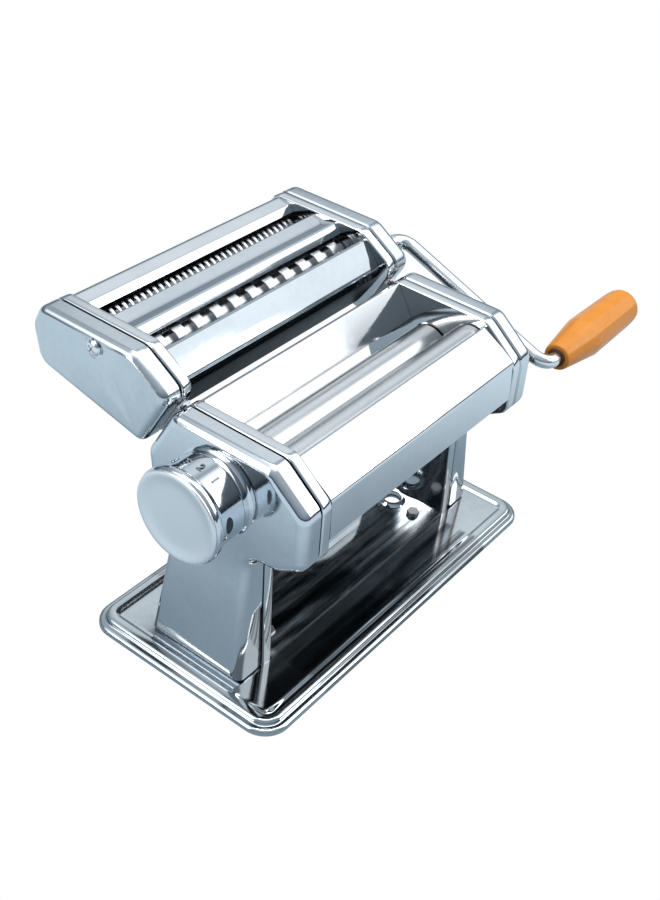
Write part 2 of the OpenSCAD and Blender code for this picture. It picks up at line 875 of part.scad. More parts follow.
module head_tie_rods() {
    color("gray") for (at = head_tie_at)
        rod_x(-head_plate_out - 2, head_plate_out + 2, head_rod_d, at);
}

module head_bushes() {
    flange_w = 0.8;
    bush_end = head_plate_out + 1.2;
    color("white") for (i = [0:3], side = [0, 1]) mirror([side, 0, 0]) difference() {
        union() {
            rod_x(plate_in, bush_end, head_bush_d[i], cutters_at[i]);
            rod_x(head_plate_out, bush_end, head_bush_d[i] + 2 * flange_w, cutters_at[i]);
        }
        hole_x(plate_in, bush_end, head_journal_d[i] + 2 * run_fit, cutters_at[i]);
    }
}

// Stripper combs: a bar with one tooth in each groove of the roll above it
module combs(pair, ring_w) {
    bar_h = 2;
    bar_t = 2.4;
    tooth_w = ring_w - 2 * side_gap;
    count = floor((roll_l / 2 - 2) / ring_w);
    for (row = [0, 1]) {
        at = pair[row];
        out = row == 0 ? -1 : 1;
        bar_z = at[1] - cutter_d / 2 - side_gap - bar_h;
        bar_y = at[0] + out * 2 - bar_t / 2;
        translate([-plate_in, bar_y, bar_z]) cube([2 * plate_in, bar_t, bar_h]);
        for (i = [-count:count]) if ((i + row + 1000) % 2 == 0)
            translate([i * ring_w - tooth_w / 2, bar_y, bar_z + bar_h - eps])
                cube([tooth_w, bar_t, (cutter_d - cutter_core) / 2 - 0.6]);
    }
}

module wide_combs() {
    color("white") combs(wide_at, wide_w);
}

module fine_combs() {
    color("white") combs(fine_at, fine_w);
}

// Ringed roll whose rings fill every second place along its length
module cutter_roll(at, ring_w, row, journal_d) {
    end_gap = 1.5;
    half_l = roll_l / 2;
    ring_gap = 0.1;
    count = floor((half_l - end_gap) / ring_w);
    rod_x(-half_l, half_l, cutter_core, at);
    for (i = [-count:count]) if ((i + row + 1000) % 2 == 1)
        rod_x((i - 0.5) * ring_w + ring_gap, (i + 0.5) * ring_w - ring_gap, cutter_d, at);
    rod_x(half_l - eps, head_gear_in + head_gear_w, journal_d, at);
    left() rod_x(half_l - eps, head_plate_out + 2, journal_d, at);
}

// Ringed roll with a crank socket in its right-hand journal
module driven_cutter(at, ring_w) {
    difference() {
        union() {
            cutter_roll(at, ring_w, 0, drive_journal_d);
            rod_x(head_gear_in, socket_out, drive_journal_d, at);
        }
        socket(socket_in, socket_out, at);
    }
}

module wide_cutter_front() {
    color("whitesmoke") driven_cutter(wide_at[0], wide_w);
}

module wide_cutter_rear() {
    color("whitesmoke") cutter_roll(wide_at[1], wide_w, 1, cutter_journal_d);
}

module fine_cutter_front() {
    color("whitesmoke") driven_cutter(fine_at[0], fine_w);
}

module fine_cutter_rear() {
    color("whitesmoke") cutter_roll(fine_at[1], fine_w, 1, cutter_journal_d);
}

cutter_teeth = 12;
cutter_tip_r = cutter_pitch / 2 + 1.2;
cutter_root_r = cutter_pitch - cutter_tip_r - 0.3;

module cutter_gear(at, aim, gap_first, bore) {
    spur(head_gear_in, head_gear_w, at, cutter_teeth, cutter_tip_r, cutter_root_r, bore,
         aim, gap_first);
}

module wide_gear_front() {
    color("goldenrod") cutter_gear(wide_at[0], 0, false, drive_journal_d);
}

module wide_gear_rear() {
    color("goldenrod") cutter_gear(wide_at[1], 180, true, cutter_journal_d);
}

module fine_gear_front() {
    color("goldenrod") cutter_gear(fine_at[0], 0, false, drive_journal_d);
}

module fine_gear_rear() {
    color("goldenrod") cutter_gear(fine_at[1], 180, true, cutter_journal_d);
}

// ---- Rails and hooks between the body and the cutter head ----

// Frame with Z along the rails, Y away from the body and the origin at the rails' foot
module on_slide() {
    translate([0, slide_low[0], slide_low[1]])
        rotate([atan2(-slide_dir[0], slide_dir[1]), 0, 0]) children();
}

rail_x = plate_out + 2.4;
rail_head_w = 4.4;
rail_web_w = 1.6;
rail_web_t = 1.25;
rail_head_t = 1;
rail_foot = 4;
rail_top = 27;
stop_l = 2;

module head_rails() {
    color("dimgray") for (side = [0, 1]) mirror([side, 0, 0]) on_slide() {
        translate([rail_x - rail_web_w / 2, 0, rail_foot])
            cube([rail_web_w, rail_web_t + eps, rail_top - rail_foot]);
        translate([rail_x - rail_head_w / 2, rail_web_t, rail_foot])
            cube([rail_head_w, rail_head_t, rail_top - rail_foot]);
        translate([rail_x - rail_head_w / 2 - 1, 0, rail_foot - stop_l])
            cube([rail_head_w + 2, rail_web_t + rail_head_t, stop_l + eps]);
    }
}

module head_hooks() {
    play = 0.25;
    lip_t = rail_web_t - 2 * play;
    hook_w = rail_head_w + 2 * play + 1.6;
    hook_foot = rail_foot + 0.2;
    hook_top = rail_top - 3;
    color("dimgray") for (side = [0, 1]) mirror([side, 0, 0]) on_slide() difference() {
        translate([rail_x - hook_w / 2, play, hook_foot])
            cube([hook_w, head_gap - play, hook_top - hook_foot]);
        translate([rail_x - rail_head_w / 2 - play, play + lip_t, hook_foot - 1])
            cube([rail_head_w + 2 * play, rail_head_t + 2 * play, hook_top]);
        translate([rail_x - rail_web_w / 2 - play, 0, hook_foot - 1])
            cube([rail_web_w + 2 * play, rail_web_t + eps, hook_top]);
    }
}

// ---- Crank and grip ----

// Frame with X along the crank's axis and Y along its arm
module on_crank() {
    translate([0, crank_at[0], crank_at[1]]) rotate([180 + crank_fall, 0, 0]) children();
}

module quarter_bend(turn) {
    rotate([0, 0, turn]) rotate_extrude(angle = 90) translate([bend_r, 0]) circle(d = crank_d);
}

module rod_along_x(x0, x1, d) {
    translate([x0, 0, 0]) rotate([0, 90, 0]) cylinder(h = x1 - x0, d = d);
}

rod_end = grip_in + grip_l - 10;
clip_in = grip_in + 12.4;
clip_t = 1.2;

module crank_rod() {
    tip = socket_in + tip_gap;
    key_end = socket_in + key_l + side_gap;
    color("silver") difference() {
        on_crank() {
            rod_along_x(tip, key_end + 1, key_d);
            rod_along_x(key_end, arm_x - bend_r + eps, crank_d);
            translate([arm_x - bend_r, bend_r, 0]) quarter_bend(-90);
            translate([arm_x, bend_r - eps, 0]) rotate([-90, 0, 0])
                cylinder(h = crank_arm - 2 * bend_r + 2 * eps, d = crank_d);
            translate([arm_x + bend_r, crank_arm - bend_r, 0]) quarter_bend(90);
            translate([0, crank_arm, 0]) rod_along_x(arm_x + bend_r - eps, rod_end, crank_d);
        }
        translate([tip - 1, crank_at[0] - key_d, crank_at[1] + key_d / 2 - flat_depth])
            cube([key_end - side_gap / 3 - tip + 1, 2 * key_d, key_d]);
    }
}

module crank_washer() {
    color("gray") difference() {
        rod_x(clip_in, clip_in + clip_t, grip_bore + 0.6, grip_at);
        hole_x(clip_in, clip_in + clip_t, crank_d, grip_at);
    }
}

module grip_shell() {
    end_r = grip_d / 2 - 3.5;
    small_r = grip_d * 0.3;
    cone_l = grip_l * 0.36;
    tail = grip_l - 6;
    clip_room = 3;
    color("orange") difference() {
        intersection() {
            translate([grip_in, grip_at[0], grip_at[1]]) rotate([0, 90, 0]) rotate_extrude()
                polygon([[0, 0], [small_r - 1, 0], [small_r, 1], [grip_d / 2 - 1, cone_l],
                         [grip_d / 2, cone_l + 1], [grip_d / 2 - 1, tail],
                         [end_r, grip_l - 1.5], [end_r - 3, grip_l], [0, grip_l]]);
            translate([grip_in, grip_at[0], grip_at[1]]) rotate([0, 90, 0])
                cylinder(h = grip_l, d = grip_d * 1.005, $fn = 10);
        }
        hole_x(grip_in, grip_in + 12, grip_bore, grip_at);
        hole_x(grip_in + 12, grip_in + 12 + clip_room, grip_bore + 1.6, grip_at);
        hole_x(grip_in + 12 + clip_room, rod_end + 2, crank_d + 1, grip_at);
    }
}

module grip_bush() {
    color("saddlebrown") difference() {
        rod_x(grip_in, grip_in + 12, grip_bore, grip_at);
        hole_x(grip_in, grip_in + 12, crank_d + 2 * run_fit, grip_at);
    }
}

base_plate();
base_feet();
bottom_plate();
base_screws();
side_frame_left();
side_frame_right();
cover_left();
cover_right();
front_panel();
rear_panel();
tie_rods();
tie_rod_nuts();
scraper_front();
scraper_rear();
roll_bushes();
selector_bush();
knob_collar();
head_rails();
drive_roll();
drive_journals();
drive_gear();
selector_shaft();
selector_cam();
knob_spring();
knob_screw();
knob_shell();
knob_cap();
bearing_block_left();
bearing_block_right();
carriage_bar();
adjust_roll();
adjust_journals();
adjust_gear();
head_plate_left();
head_plate_right();
head_cap_left();
head_cap_right();
head_cap_screws();
head_rear_panel();
head_divider();
head_front_panel();
head_tie_rods();
head_bushes();
wide_combs();
fine_combs();
head_hooks();
wide_cutter_front();
wide_gear_front();
wide_cutter_rear();
wide_gear_rear();
fine_cutter_front();
fine_gear_front();
fine_cutter_rear();
fine_gear_rear();
crank_rod();
crank_washer();
grip_shell();
grip_bush();
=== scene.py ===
"""Looks of the pasta roller machine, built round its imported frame.

Lengths are in millimetres inside the classes and become metres when a mesh is made.
X runs along the rolls towards the crank, Y from the front to the cutter head, Z up.
"""

import logging
import math
from dataclasses import dataclass, field
from enum import Enum
from typing import Callable, Sequence

import bmesh
import bpy
from mathutils import Matrix, Vector


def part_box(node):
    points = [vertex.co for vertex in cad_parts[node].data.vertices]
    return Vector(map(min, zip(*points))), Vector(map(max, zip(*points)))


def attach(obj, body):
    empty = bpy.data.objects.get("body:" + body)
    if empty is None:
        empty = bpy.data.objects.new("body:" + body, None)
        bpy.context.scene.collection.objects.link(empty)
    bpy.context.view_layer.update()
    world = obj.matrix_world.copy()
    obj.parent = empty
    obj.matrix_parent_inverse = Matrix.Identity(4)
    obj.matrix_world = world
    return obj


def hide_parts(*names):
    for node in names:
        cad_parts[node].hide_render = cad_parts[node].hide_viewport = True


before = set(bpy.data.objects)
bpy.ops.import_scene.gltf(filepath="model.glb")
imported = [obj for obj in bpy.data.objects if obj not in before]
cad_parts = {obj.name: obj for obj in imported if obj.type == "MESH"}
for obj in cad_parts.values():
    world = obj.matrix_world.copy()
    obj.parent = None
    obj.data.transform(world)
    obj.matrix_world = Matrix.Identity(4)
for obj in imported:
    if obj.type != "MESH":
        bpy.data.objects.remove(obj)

LOG = logging.getLogger("pasta_machine")
MM = 0.001
SHEET_T = 1.0
SHEET_GAP = 0.15
ROLL_SLOPE = math.radians(23.6)
AXIS_R = 1e-4
SMOOTH_TO = 32.0
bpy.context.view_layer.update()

Corner = tuple[float, float, float]
Flat = tuple[float, float]
Spot = tuple[float, float, float]
Ring = list[Spot]


class Body(str, Enum):
    """The bodies that pieces ride on."""

    MACHINE = "machine"
    DRIVE = "drive"
    ADJUST = "adjust"
    KNOB = "knob"
    HEAD = "head"
    WIDE_FRONT = "wide_front"
    WIDE_REAR = "wide_rear"
    FINE_FRONT = "fine_front"
    FINE_REAR = "fine_rear"
    CRANK = "crank"
    GRIP = "grip"


class Side(int, Enum):
    """Which end of the machine a piece belongs to, as the sign of its X."""

    LEFT = -1
    RIGHT = 1


# ---------------------------------------------------------------- outlines


def rounded(points: Sequence[Corner], steps: int = 8) -> list[Flat]:
    """Rounds every corner of a closed outline.

    Args:
        points: corners as (y, z, radius), counter-clockwise.
        steps: arc steps at each corner.

    Returns:
        The outline's points as (y, z).
    """
    out: list[Flat] = []
    count = len(points)
    for i, (y, z, radius) in enumerate(points):
        at = Vector((y, z))
        back = (Vector(points[i - 1][:2]) - at).normalized()
        ahead = (Vector(points[(i + 1) % count][:2]) - at).normalized()
        out += arc_at(at, back, ahead, radius, steps)
    return out


def arc_at(at: Vector, back: Vector, ahead: Vector, radius: float, steps: int) -> list[Flat]:
    """Points of one rounded corner.

    Args:
        at: the corner.
        back: unit vector towards the corner before.
        ahead: unit vector towards the corner after.
        radius: radius of the arc.
        steps: arc steps.

    Returns:
        The arc's points, from the side before to the side after.
    """
    half = math.acos(max(-1.0, min(1.0, back.dot(ahead)))) / 2
    centre = at + (back + ahead).normalized() * radius / math.sin(half)
    start = at + back * radius / math.tan(half) - centre
    end = at + ahead * radius / math.tan(half) - centre
    first = math.atan2(start.y, start.x)
    turn = (math.atan2(end.y, end.x) - first + 3 * math.pi) % (2 * math.pi) - math.pi
    return [
        (
            centre.x + radius * math.cos(first + turn * k / steps),
            centre.y + radius * math.sin(first + turn * k / steps),
        )
        for k in range(steps + 1)
    ]


def inset(points: Sequence[Corner], depth: float) -> list[Corner]:
    """Moves a closed outline inwards and keeps its radii in step.

    Args:
        points: corners as (y, z, radius), counter-clockwise.
        depth: distance inwards.

    Returns:
        The corners of the smaller outline.
    """
    out: list[Corner] = []
    count = len(points)
    for i, (y, z, radius) in enumerate(points):
        into = (Vector((y, z)) - Vector(points[i - 1][:2])).normalized()
        away = (Vector(points[(i + 1) % count][:2]) - Vector((y, z))).normalized()
        n_into = Vector((-into.y, into.x))
        n_away = Vector((-away.y, away.x))
        at = Vector((y, z)) + depth * (n_into + n_away) / (1 + n_into.dot(n_away))
        convex = into.x * away.y - into.y * away.x > 0
        out.append((at.x, at.y, max(radius - depth, 0.3) if convex else radius + depth))
    return out


def fan(total: float, steps: int) -> list[float]:
    """Angles from 0 to total in equal steps, with both ends."""
    return [total * k / steps for k in range(steps + 1)]


def circle(turns: int) -> list[float]:
    """Angles of points spread evenly round a full circle."""
    return [2 * math.pi * k / turns for k in range(turns)]


def slab(length: float, width: float, radius: float) -> list[Corner]:
    """Corners of a rounded rectangle, counter-clockwise."""
    x, y = length / 2, width / 2
    return [(-x, -y, radius), (x, -y, radius), (x, y, radius), (-x, y, radius)]


def bent_path(points: Sequence[Corner], steps: int = 6) -> list[Flat]:
    """Rounds the inner corners of an open path.

    Args:
        points: corners as (y, z, radius).
        steps: arc steps at each bend.

    Returns:
        The path's points as (y, z).
    """
    out: list[Flat] = [points[0][:2]]
    for before, (y, z, radius), after in zip(points, points[1:], points[2:]):
        at = Vector((y, z))
        back = (Vector(before[:2]) - at).normalized()
        ahead = (Vector(after[:2]) - at).normalized()
        out += arc_at(at, back, ahead, radius, steps)
    out.append(points[-1][:2])
    return out


def offset_path(path: Sequence[Flat], depth: float) -> list[Flat]:
    """Moves an open path to its left.

    Args:
        path: its points.
        depth: the distance; negative moves it to its right.

    Returns:
        The points of the moved path.
    """
    out: list[Flat] = []
    last = len(path) - 1
    for i in range(last + 1):
        a = Vector(path[min(i, last - 1) + 1]) - Vector(path[min(i, last - 1)])
        b = Vector(path[max(i, 1)]) - Vector(path[max(i, 1) - 1])
        a.normalize()
        b.normalize()
        n1, n2 = Vector((-a.y, a.x)), Vector((-b.y, b.x))
        at = Vector(path[i]) + depth * (n1 + n2) / (1 + n1.dot(n2))
        out.append((at.x, at.y))
    return out


# ---------------------------------------------------------------- shader tools


class Nodes:
    """Places and links shader nodes in one tree."""

    def __init__(self, tree: bpy.types.NodeTree) -> None:
        """Starts an empty tree."""
        self.tree = tree
        tree.nodes.clear()

    def add(self, kind: str, settings: dict | None = None, **inputs: object) -> bpy.types.Node:
        """Places a node.

        Args:
            kind: the node's type name.
            settings: attributes to set on it.
            **inputs: socket name with underscores for spaces, to a value or a socket.

        Returns:
            The node.
        """
        node = self.tree.nodes.new(kind)
        for key, value in (settings or {}).items():
            setattr(node, key, value)
        for key, value in inputs.items():
            self.feed(node.inputs[key.replace("_", " ")], value)
        return node

    def feed(self, socket: bpy.types.NodeSocket, value: object) -> None:
        """Links a socket to an input, or sets the input's value.

        Args:
            socket: the input.
            value: an output socket, or a plain value.
        """
        if isinstance(value, bpy.types.NodeSocket):
            self.tree.links.new(value, socket)
        else:
            socket.default_value = value

    def math(self, operation: str, a: object, b: object = 0.0) -> bpy.types.NodeSocket:
        """Adds a math node.

        Args:
            operation: what it works out.
            a: its first input, a value or a socket.
            b: its second input.

        Returns:
            Its output.
        """
        node = self.add("ShaderNodeMath", {"operation": operation})
        self.feed(node.inputs[0], a)
        self.feed(node.inputs[1], b)
        return node.outputs[0]

    def ramp(self, value: object, low: float, high: float, out_low: float = 0.0,
             out_high: float = 1.0) -> bpy.types.NodeSocket:
        """Maps one range to another with soft ends.

        Args:
            value: what is mapped.
            low: the value that gives out_low.
            high: the value that gives out_high.
            out_low: the result at and before low.
            out_high: the result at and past high.

        Returns:
            The result's socket.
        """
        node = self.add(
            "ShaderNodeMapRange", {"interpolation_type": "SMOOTHSTEP"}, Value=value,
            From_Min=low, From_Max=high, To_Min=out_low, To_Max=out_high,
        )
        return node.outputs["Result"]

    def blend(self, factor: object, a: object, b: object) -> bpy.types.NodeSocket:
        """Mixes two colours.

        Args:
            factor: share of the second colour.
            a: the first colour.
            b: the second colour.

        Returns:
            The mixed colour's socket.
        """
        node = self.add("ShaderNodeMix", {"data_type": "RGBA"})
        self.feed(node.inputs["Factor"], factor)
        self.feed(node.inputs[6], a)
        self.feed(node.inputs[7], b)
        return node.outputs[2]


class Effect(Enum):
    """Shared surface effects, each one node group."""

    GRAIN = "metal_grain"
    WIPE = "wipe_marks"
    DUST = "settled_dust"
    MOULD = "moulded_skin"


Started = tuple[Nodes, bpy.types.Node, bpy.types.Node]


class Effects:
    """Builds each shared effect once, as a node group."""

    _made: dict[Effect, bpy.types.NodeTree] = {}

    @classmethod
    def group(cls, effect: Effect) -> bpy.types.NodeTree:
        """Returns the effect's node group, made on first use.

        Args:
            effect: which effect.

        Returns:
            The shader node group.
        """
        if effect not in cls._made:
            makers: dict[Effect, Callable[[], bpy.types.NodeTree]] = {
                Effect.GRAIN: cls._grain,
                Effect.WIPE: cls._wipe,
                Effect.DUST: cls._dust,
                Effect.MOULD: cls._mould,
            }
            cls._made[effect] = makers[effect]()
        return cls._made[effect]

    @staticmethod
    def _start(effect: Effect, inputs: dict[str, float], outputs: Sequence[str]) -> Started:
        """Makes a group with its float sockets.

        Args:
            effect: which effect.
            inputs: input names with their values.
            outputs: output names.

        Returns:
            Its node placer, and its input and output nodes.
        """
        tree = bpy.data.node_groups.new(effect.value, "ShaderNodeTree")
        for name, value in inputs.items():
            socket = tree.interface.new_socket(name, in_out="INPUT", socket_type="NodeSocketFloat")
            socket.default_value = value
        for name in outputs:
            tree.interface.new_socket(name, in_out="OUTPUT", socket_type="NodeSocketFloat")
        nodes = Nodes(tree)
        return nodes, nodes.add("NodeGroupInput"), nodes.add("NodeGroupOutput")

    @classmethod
    def _grain(cls) -> bpy.types.NodeTree:
        """Fine lines along X, as rolling and polishing leave, with their height.

        Returns:
            The node group.
        """
        n, given, out = cls._start(
            Effect.GRAIN, {"Scale": 900.0, "Stretch": 0.03, "Across": 1.0}, ["Lines", "Height"])
        place = n.add("ShaderNodeTexCoord")
        scale = n.add("ShaderNodeCombineXYZ", X=given.outputs["Stretch"], Y=given.outputs["Across"],
                      Z=given.outputs["Across"])
        stretched = n.add("ShaderNodeVectorMath", {"operation": "MULTIPLY"})
        n.feed(stretched.inputs[0], place.outputs["Object"])
        n.feed(stretched.inputs[1], scale.outputs[0])
        noise = n.add("ShaderNodeTexNoise", Vector=stretched.outputs[0],
                      Scale=given.outputs["Scale"], Detail=3.0, Roughness=0.6)
        n.feed(out.inputs["Lines"], n.ramp(noise.outputs["Fac"], 0.35, 0.68))
        n.feed(out.inputs["Height"], noise.outputs["Fac"])
        return n.tree

    @classmethod
    def _wipe(cls) -> bpy.types.NodeTree:
        """Broad smears and small marks that dull a polished face here and there.

        Returns:
            The node group.
        """
        n, given, out = cls._start(
            Effect.WIPE, {"Scale": 18.0, "Fine": 240.0, "Low": 0.04, "High": 0.12},
            ["Roughness", "Mask"])
        place = n.add("ShaderNodeTexCoord")
        broad = n.add("ShaderNodeTexNoise", Vector=place.outputs["Object"],
                      Scale=given.outputs["Scale"], Detail=3.0, Roughness=0.55, Distortion=0.6)
        fine = n.add("ShaderNodeTexNoise", Vector=place.outputs["Object"],
                     Scale=given.outputs["Fine"], Detail=2.0)
        mask = n.math("ADD", n.math("MULTIPLY", broad.outputs["Fac"], 0.8),
                      n.math("MULTIPLY", fine.outputs["Fac"], 0.2))
        mask = n.ramp(mask, 0.36, 0.66)
        rough = n.add("ShaderNodeMapRange", Value=mask, To_Min=given.outputs["Low"],
                      To_Max=given.outputs["High"])
        n.feed(out.inputs["Roughness"], rough.outputs["Result"])
        n.feed(out.inputs["Mask"], mask)
        return n.tree

    @classmethod
    def _dust(cls) -> bpy.types.NodeTree:
        """Light dust on faces that look up.

        Returns:
            The node group.
        """
        n, given, out = cls._start(
            Effect.DUST, {"Scale": 420.0, "Amount": 0.2}, ["Mask"])
        place = n.add("ShaderNodeTexCoord")
        facing = n.add("ShaderNodeSeparateXYZ", Vector=n.add("ShaderNodeNewGeometry").outputs["Normal"])
        up = n.ramp(facing.outputs["Z"], 0.3, 0.95)
        specks = n.add("ShaderNodeTexNoise", Vector=place.outputs["Object"],
                       Scale=given.outputs["Scale"], Detail=4.0)
        mask = n.math("MULTIPLY", up, n.ramp(specks.outputs["Fac"], 0.5, 0.75))
        n.feed(out.inputs["Mask"], n.math("MULTIPLY", mask, given.outputs["Amount"]))
        return n.tree

    @classmethod
    def _mould(cls) -> bpy.types.NodeTree:
        """Faint flow and texture of a moulded skin.

        Returns:
            The node group.
        """
        n, given, out = cls._start(
            Effect.MOULD, {"Scale": 60.0, "Fine": 1400.0}, ["Tone", "Height"])
        place = n.add("ShaderNodeTexCoord")
        flow = n.add("ShaderNodeTexNoise", Vector=place.outputs["Object"],
                     Scale=given.outputs["Scale"], Detail=3.0, Distortion=1.2)
        fine = n.add("ShaderNodeTexNoise", Vector=place.outputs["Object"],
                     Scale=given.outputs["Fine"], Detail=2.0)
        n.feed(out.inputs["Tone"], n.ramp(flow.outputs["Fac"], 0.3, 0.7))
        n.feed(out.inputs["Height"], fine.outputs["Fac"])
        return n.tree


def effect_node(n: Nodes, effect: Effect, **values: float) -> bpy.types.Node:
    """Places a shared effect in a material.

    Args:
        n: the material's node placer.
        effect: which effect.
        **values: the effect's input values.

    Returns:
        The group node.
    """
    node = n.add("ShaderNodeGroup", {"node_tree": Effects.group(effect)})
    for key, value in values.items():
        node.inputs[key].default_value = value
    return node


# ---------------------------------------------------------------- finishes


@dataclass(frozen=True)
class Finish:
    """A surface finish with a name; subclasses say how it looks."""

    name: str

    def material(self) -> bpy.types.Material:
        """Makes the finish's material on first use.

        Returns:
            The material.
        """
        found = bpy.data.materials.get(self.name)
        if found is None:
            found = bpy.data.materials.new(self.name)
            found.use_nodes = True
            n = Nodes(found.node_tree)
            shader = n.add("ShaderNodeBsdfPrincipled")
            n.feed(n.add("ShaderNodeOutputMaterial").inputs["Surface"], shader.outputs["BSDF"])
            self.dress(n, shader)
        return found

    def dress(self, n: Nodes, shader: bpy.types.Node) -> None:
        """Feeds the shader; each kind of finish has its own way.

        Args:
            n: the material's node placer.
            shader: the Principled shader.
        """
        raise NotImplementedError


@dataclass(frozen=True)
class PolishedSheet(Finish):
    """Mirror-polished plated sheet with soft waves, wipe marks and a little dust."""

    tint: tuple[float, float, float] = (0.80, 0.84, 0.88)
    smear: tuple[float, float, float] = (0.70, 0.75, 0.80)
    smooth: float = 0.05
    dull: float = 0.11
    wave: float = 0.25
    dust: float = 0.10
    # Strength and half width of the dark lines between the legs: painted reflection of the machine's dark
    # underside
    painted_streak: float = 0.0
    painted_streak_half: float = 0.074

    def dress(self, n: Nodes, shader: bpy.types.Node) -> None:
        """Feeds the shader with the plating's colour, gloss and waves.

        Args:
            n: the material's node placer.
            shader: the Principled shader.
        """
        wipe = effect_node(n, Effect.WIPE, Scale=14.0, Fine=260.0, Low=self.smooth, High=self.dull)
        grain = effect_node(n, Effect.GRAIN, Scale=1500.0, Stretch=0.02, Across=1.0)
        dust = effect_node(n, Effect.DUST, Scale=600.0, Amount=self.dust)
        metal = n.blend(wipe.outputs["Mask"], (*self.tint, 1.0), (*self.smear, 1.0))
        # Dark lines between the legs: painted reflection and painted shade of the machine's dark
        # underside
        if self.painted_streak > 0:
            metal = n.blend(self.painted_streaks(n), metal, (0.10, 0.11, 0.12, 1.0))
        n.feed(shader.inputs["Base Color"], metal)
        shader.inputs["Metallic"].default_value = 1.0
        rough = n.math("ADD", wipe.outputs["Roughness"], n.math("MULTIPLY", dust.outputs["Mask"], 0.5))
        n.feed(shader.inputs["Roughness"], rough)
        place = n.add("ShaderNodeTexCoord")
        waves = n.add("ShaderNodeTexNoise", Vector=place.outputs["Object"], Scale=11.0, Detail=1.0)
        slow = n.add("ShaderNodeBump", Strength=self.wave, Distance=0.002,
                     Height=waves.outputs["Fac"])
        fast = n.add("ShaderNodeBump", Strength=0.05, Distance=0.0002,
                     Height=grain.outputs["Height"], Normal=slow.outputs["Normal"])
        n.feed(shader.inputs["Normal"], fast.outputs["Normal"])

    def painted_streaks(self, n: Nodes) -> bpy.types.NodeSocket:
        """Places long dark lines between the legs: painted reflection and painted shade of the machine's
        dark underside.

        Args:
            n: the material's node placer.

        Returns:
            Their mask.
        """
        lines = effect_node(n, Effect.GRAIN, Scale=260.0, Stretch=0.025, Across=1.0)
        place = n.add("ShaderNodeTexCoord")
        axes = n.add("ShaderNodeSeparateXYZ", Vector=place.outputs["Object"])
        off = n.math("ABSOLUTE", axes.outputs["X"])
        inside = n.ramp(off, self.painted_streak_half, self.painted_streak_half - 0.004)
        painted_lines = n.math("MULTIPLY", lines.outputs["Lines"], self.painted_streak)
        return n.math("MULTIPLY", painted_lines, inside)


@dataclass(frozen=True)
class TurnedMetal(Finish):
    """Machined or drawn metal with fine lines along or across X."""

    tint: tuple[float, float, float] = (0.86, 0.87, 0.89)
    shade: tuple[float, float, float] = (0.66, 0.67, 0.70)
    smooth: float = 0.14
    dull: float = 0.30
    stretch: float = 1.0
    across: float = 0.05
    scale: float = 1800.0

    def dress(self, n: Nodes, shader: bpy.types.Node) -> None:
        """Feeds the shader with the metal's lines.

        Args:
            n: the material's node placer.
            shader: the Principled shader.
        """
        grain = effect_node(n, Effect.GRAIN, Scale=self.scale, Stretch=self.stretch,
                            Across=self.across)
        wipe = effect_node(n, Effect.WIPE, Scale=22.0, Fine=320.0, Low=self.smooth, High=self.dull)
        n.feed(shader.inputs["Base Color"],
               n.blend(grain.outputs["Lines"], (*self.tint, 1.0), (*self.shade, 1.0)))
        shader.inputs["Metallic"].default_value = 1.0
        n.feed(shader.inputs["Roughness"], wipe.outputs["Roughness"])
        bump = n.add("ShaderNodeBump", Strength=0.12, Distance=0.0003,
                     Height=grain.outputs["Height"])
        n.feed(shader.inputs["Normal"], bump.outputs["Normal"])


@dataclass(frozen=True)
class Moulded(Finish):
    """Moulded plastic or rubber with a soft skin."""

    tint: tuple[float, float, float] = (0.8, 0.8, 0.8)
    shade: tuple[float, float, float] = (0.6, 0.6, 0.6)
    smooth: float = 0.3
    dull: float = 0.45
    coat: float = 0.0
    bump: float = 0.15

    def dress(self, n: Nodes, shader: bpy.types.Node) -> None:
        """Feeds the shader with the skin's tones.

        Args:
            n: the material's node placer.
            shader: the Principled shader.
        """
        skin = effect_node(n, Effect.MOULD, Scale=70.0, Fine=1600.0)
        wipe = effect_node(n, Effect.WIPE, Scale=40.0, Fine=380.0, Low=self.smooth, High=self.dull)
        n.feed(shader.inputs["Base Color"],
               n.blend(skin.outputs["Tone"], (*self.tint, 1.0), (*self.shade, 1.0)))
        n.feed(shader.inputs["Roughness"], wipe.outputs["Roughness"])
        shader.inputs["Coat Weight"].default_value = self.coat
        shader.inputs["Coat Roughness"].default_value = 0.12
        bump = n.add("ShaderNodeBump", Strength=self.bump, Distance=0.0002,
                     Height=skin.outputs["Height"])
        n.feed(shader.inputs["Normal"], bump.outputs["Normal"])


SHEET = PolishedSheet("polished_sheet", wave=0.12)
# Lighter copy of the polished sheet: painted light on the side plates, the head end plates and the front,
# hopper and head rear sheets
SHEET_PAINTED_LIGHT = PolishedSheet("sheet_painted_light", tint=(0.88, 0.90, 0.92), smear=(0.80, 0.83, 0.86),
                             wave=0.12)
# Darker copy of the polished sheet for the base: painted shade, with dark lines between the legs as
# painted reflection; its dust and waves are the surface itself
DECK_SHEET_PAINTED_SHADE = PolishedSheet("deck_sheet_painted_shade", tint=(0.74, 0.79, 0.82), smear=(0.62, 0.67, 0.70),
                           wave=0.3, dust=0.12, painted_streak=0.9)
# Darker copy of the polished sheet for the head's nose sheet: painted shade
GUIDE_SHEET_PAINTED_SHADE = PolishedSheet("guide_sheet_painted_shade", tint=(0.56, 0.61, 0.65), smear=(0.50, 0.55, 0.59),
                            wave=0.12)
# Darker and rougher copy of the polished sheet for the head caps: the darker tint is painted shade, the
# roughness is the surface itself
CAP_SHEET_PAINTED_SHADE = PolishedSheet("cap_sheet_painted_shade", tint=(0.72, 0.77, 0.81), smear=(0.63, 0.68, 0.72),
                          smooth=0.13, dull=0.24)
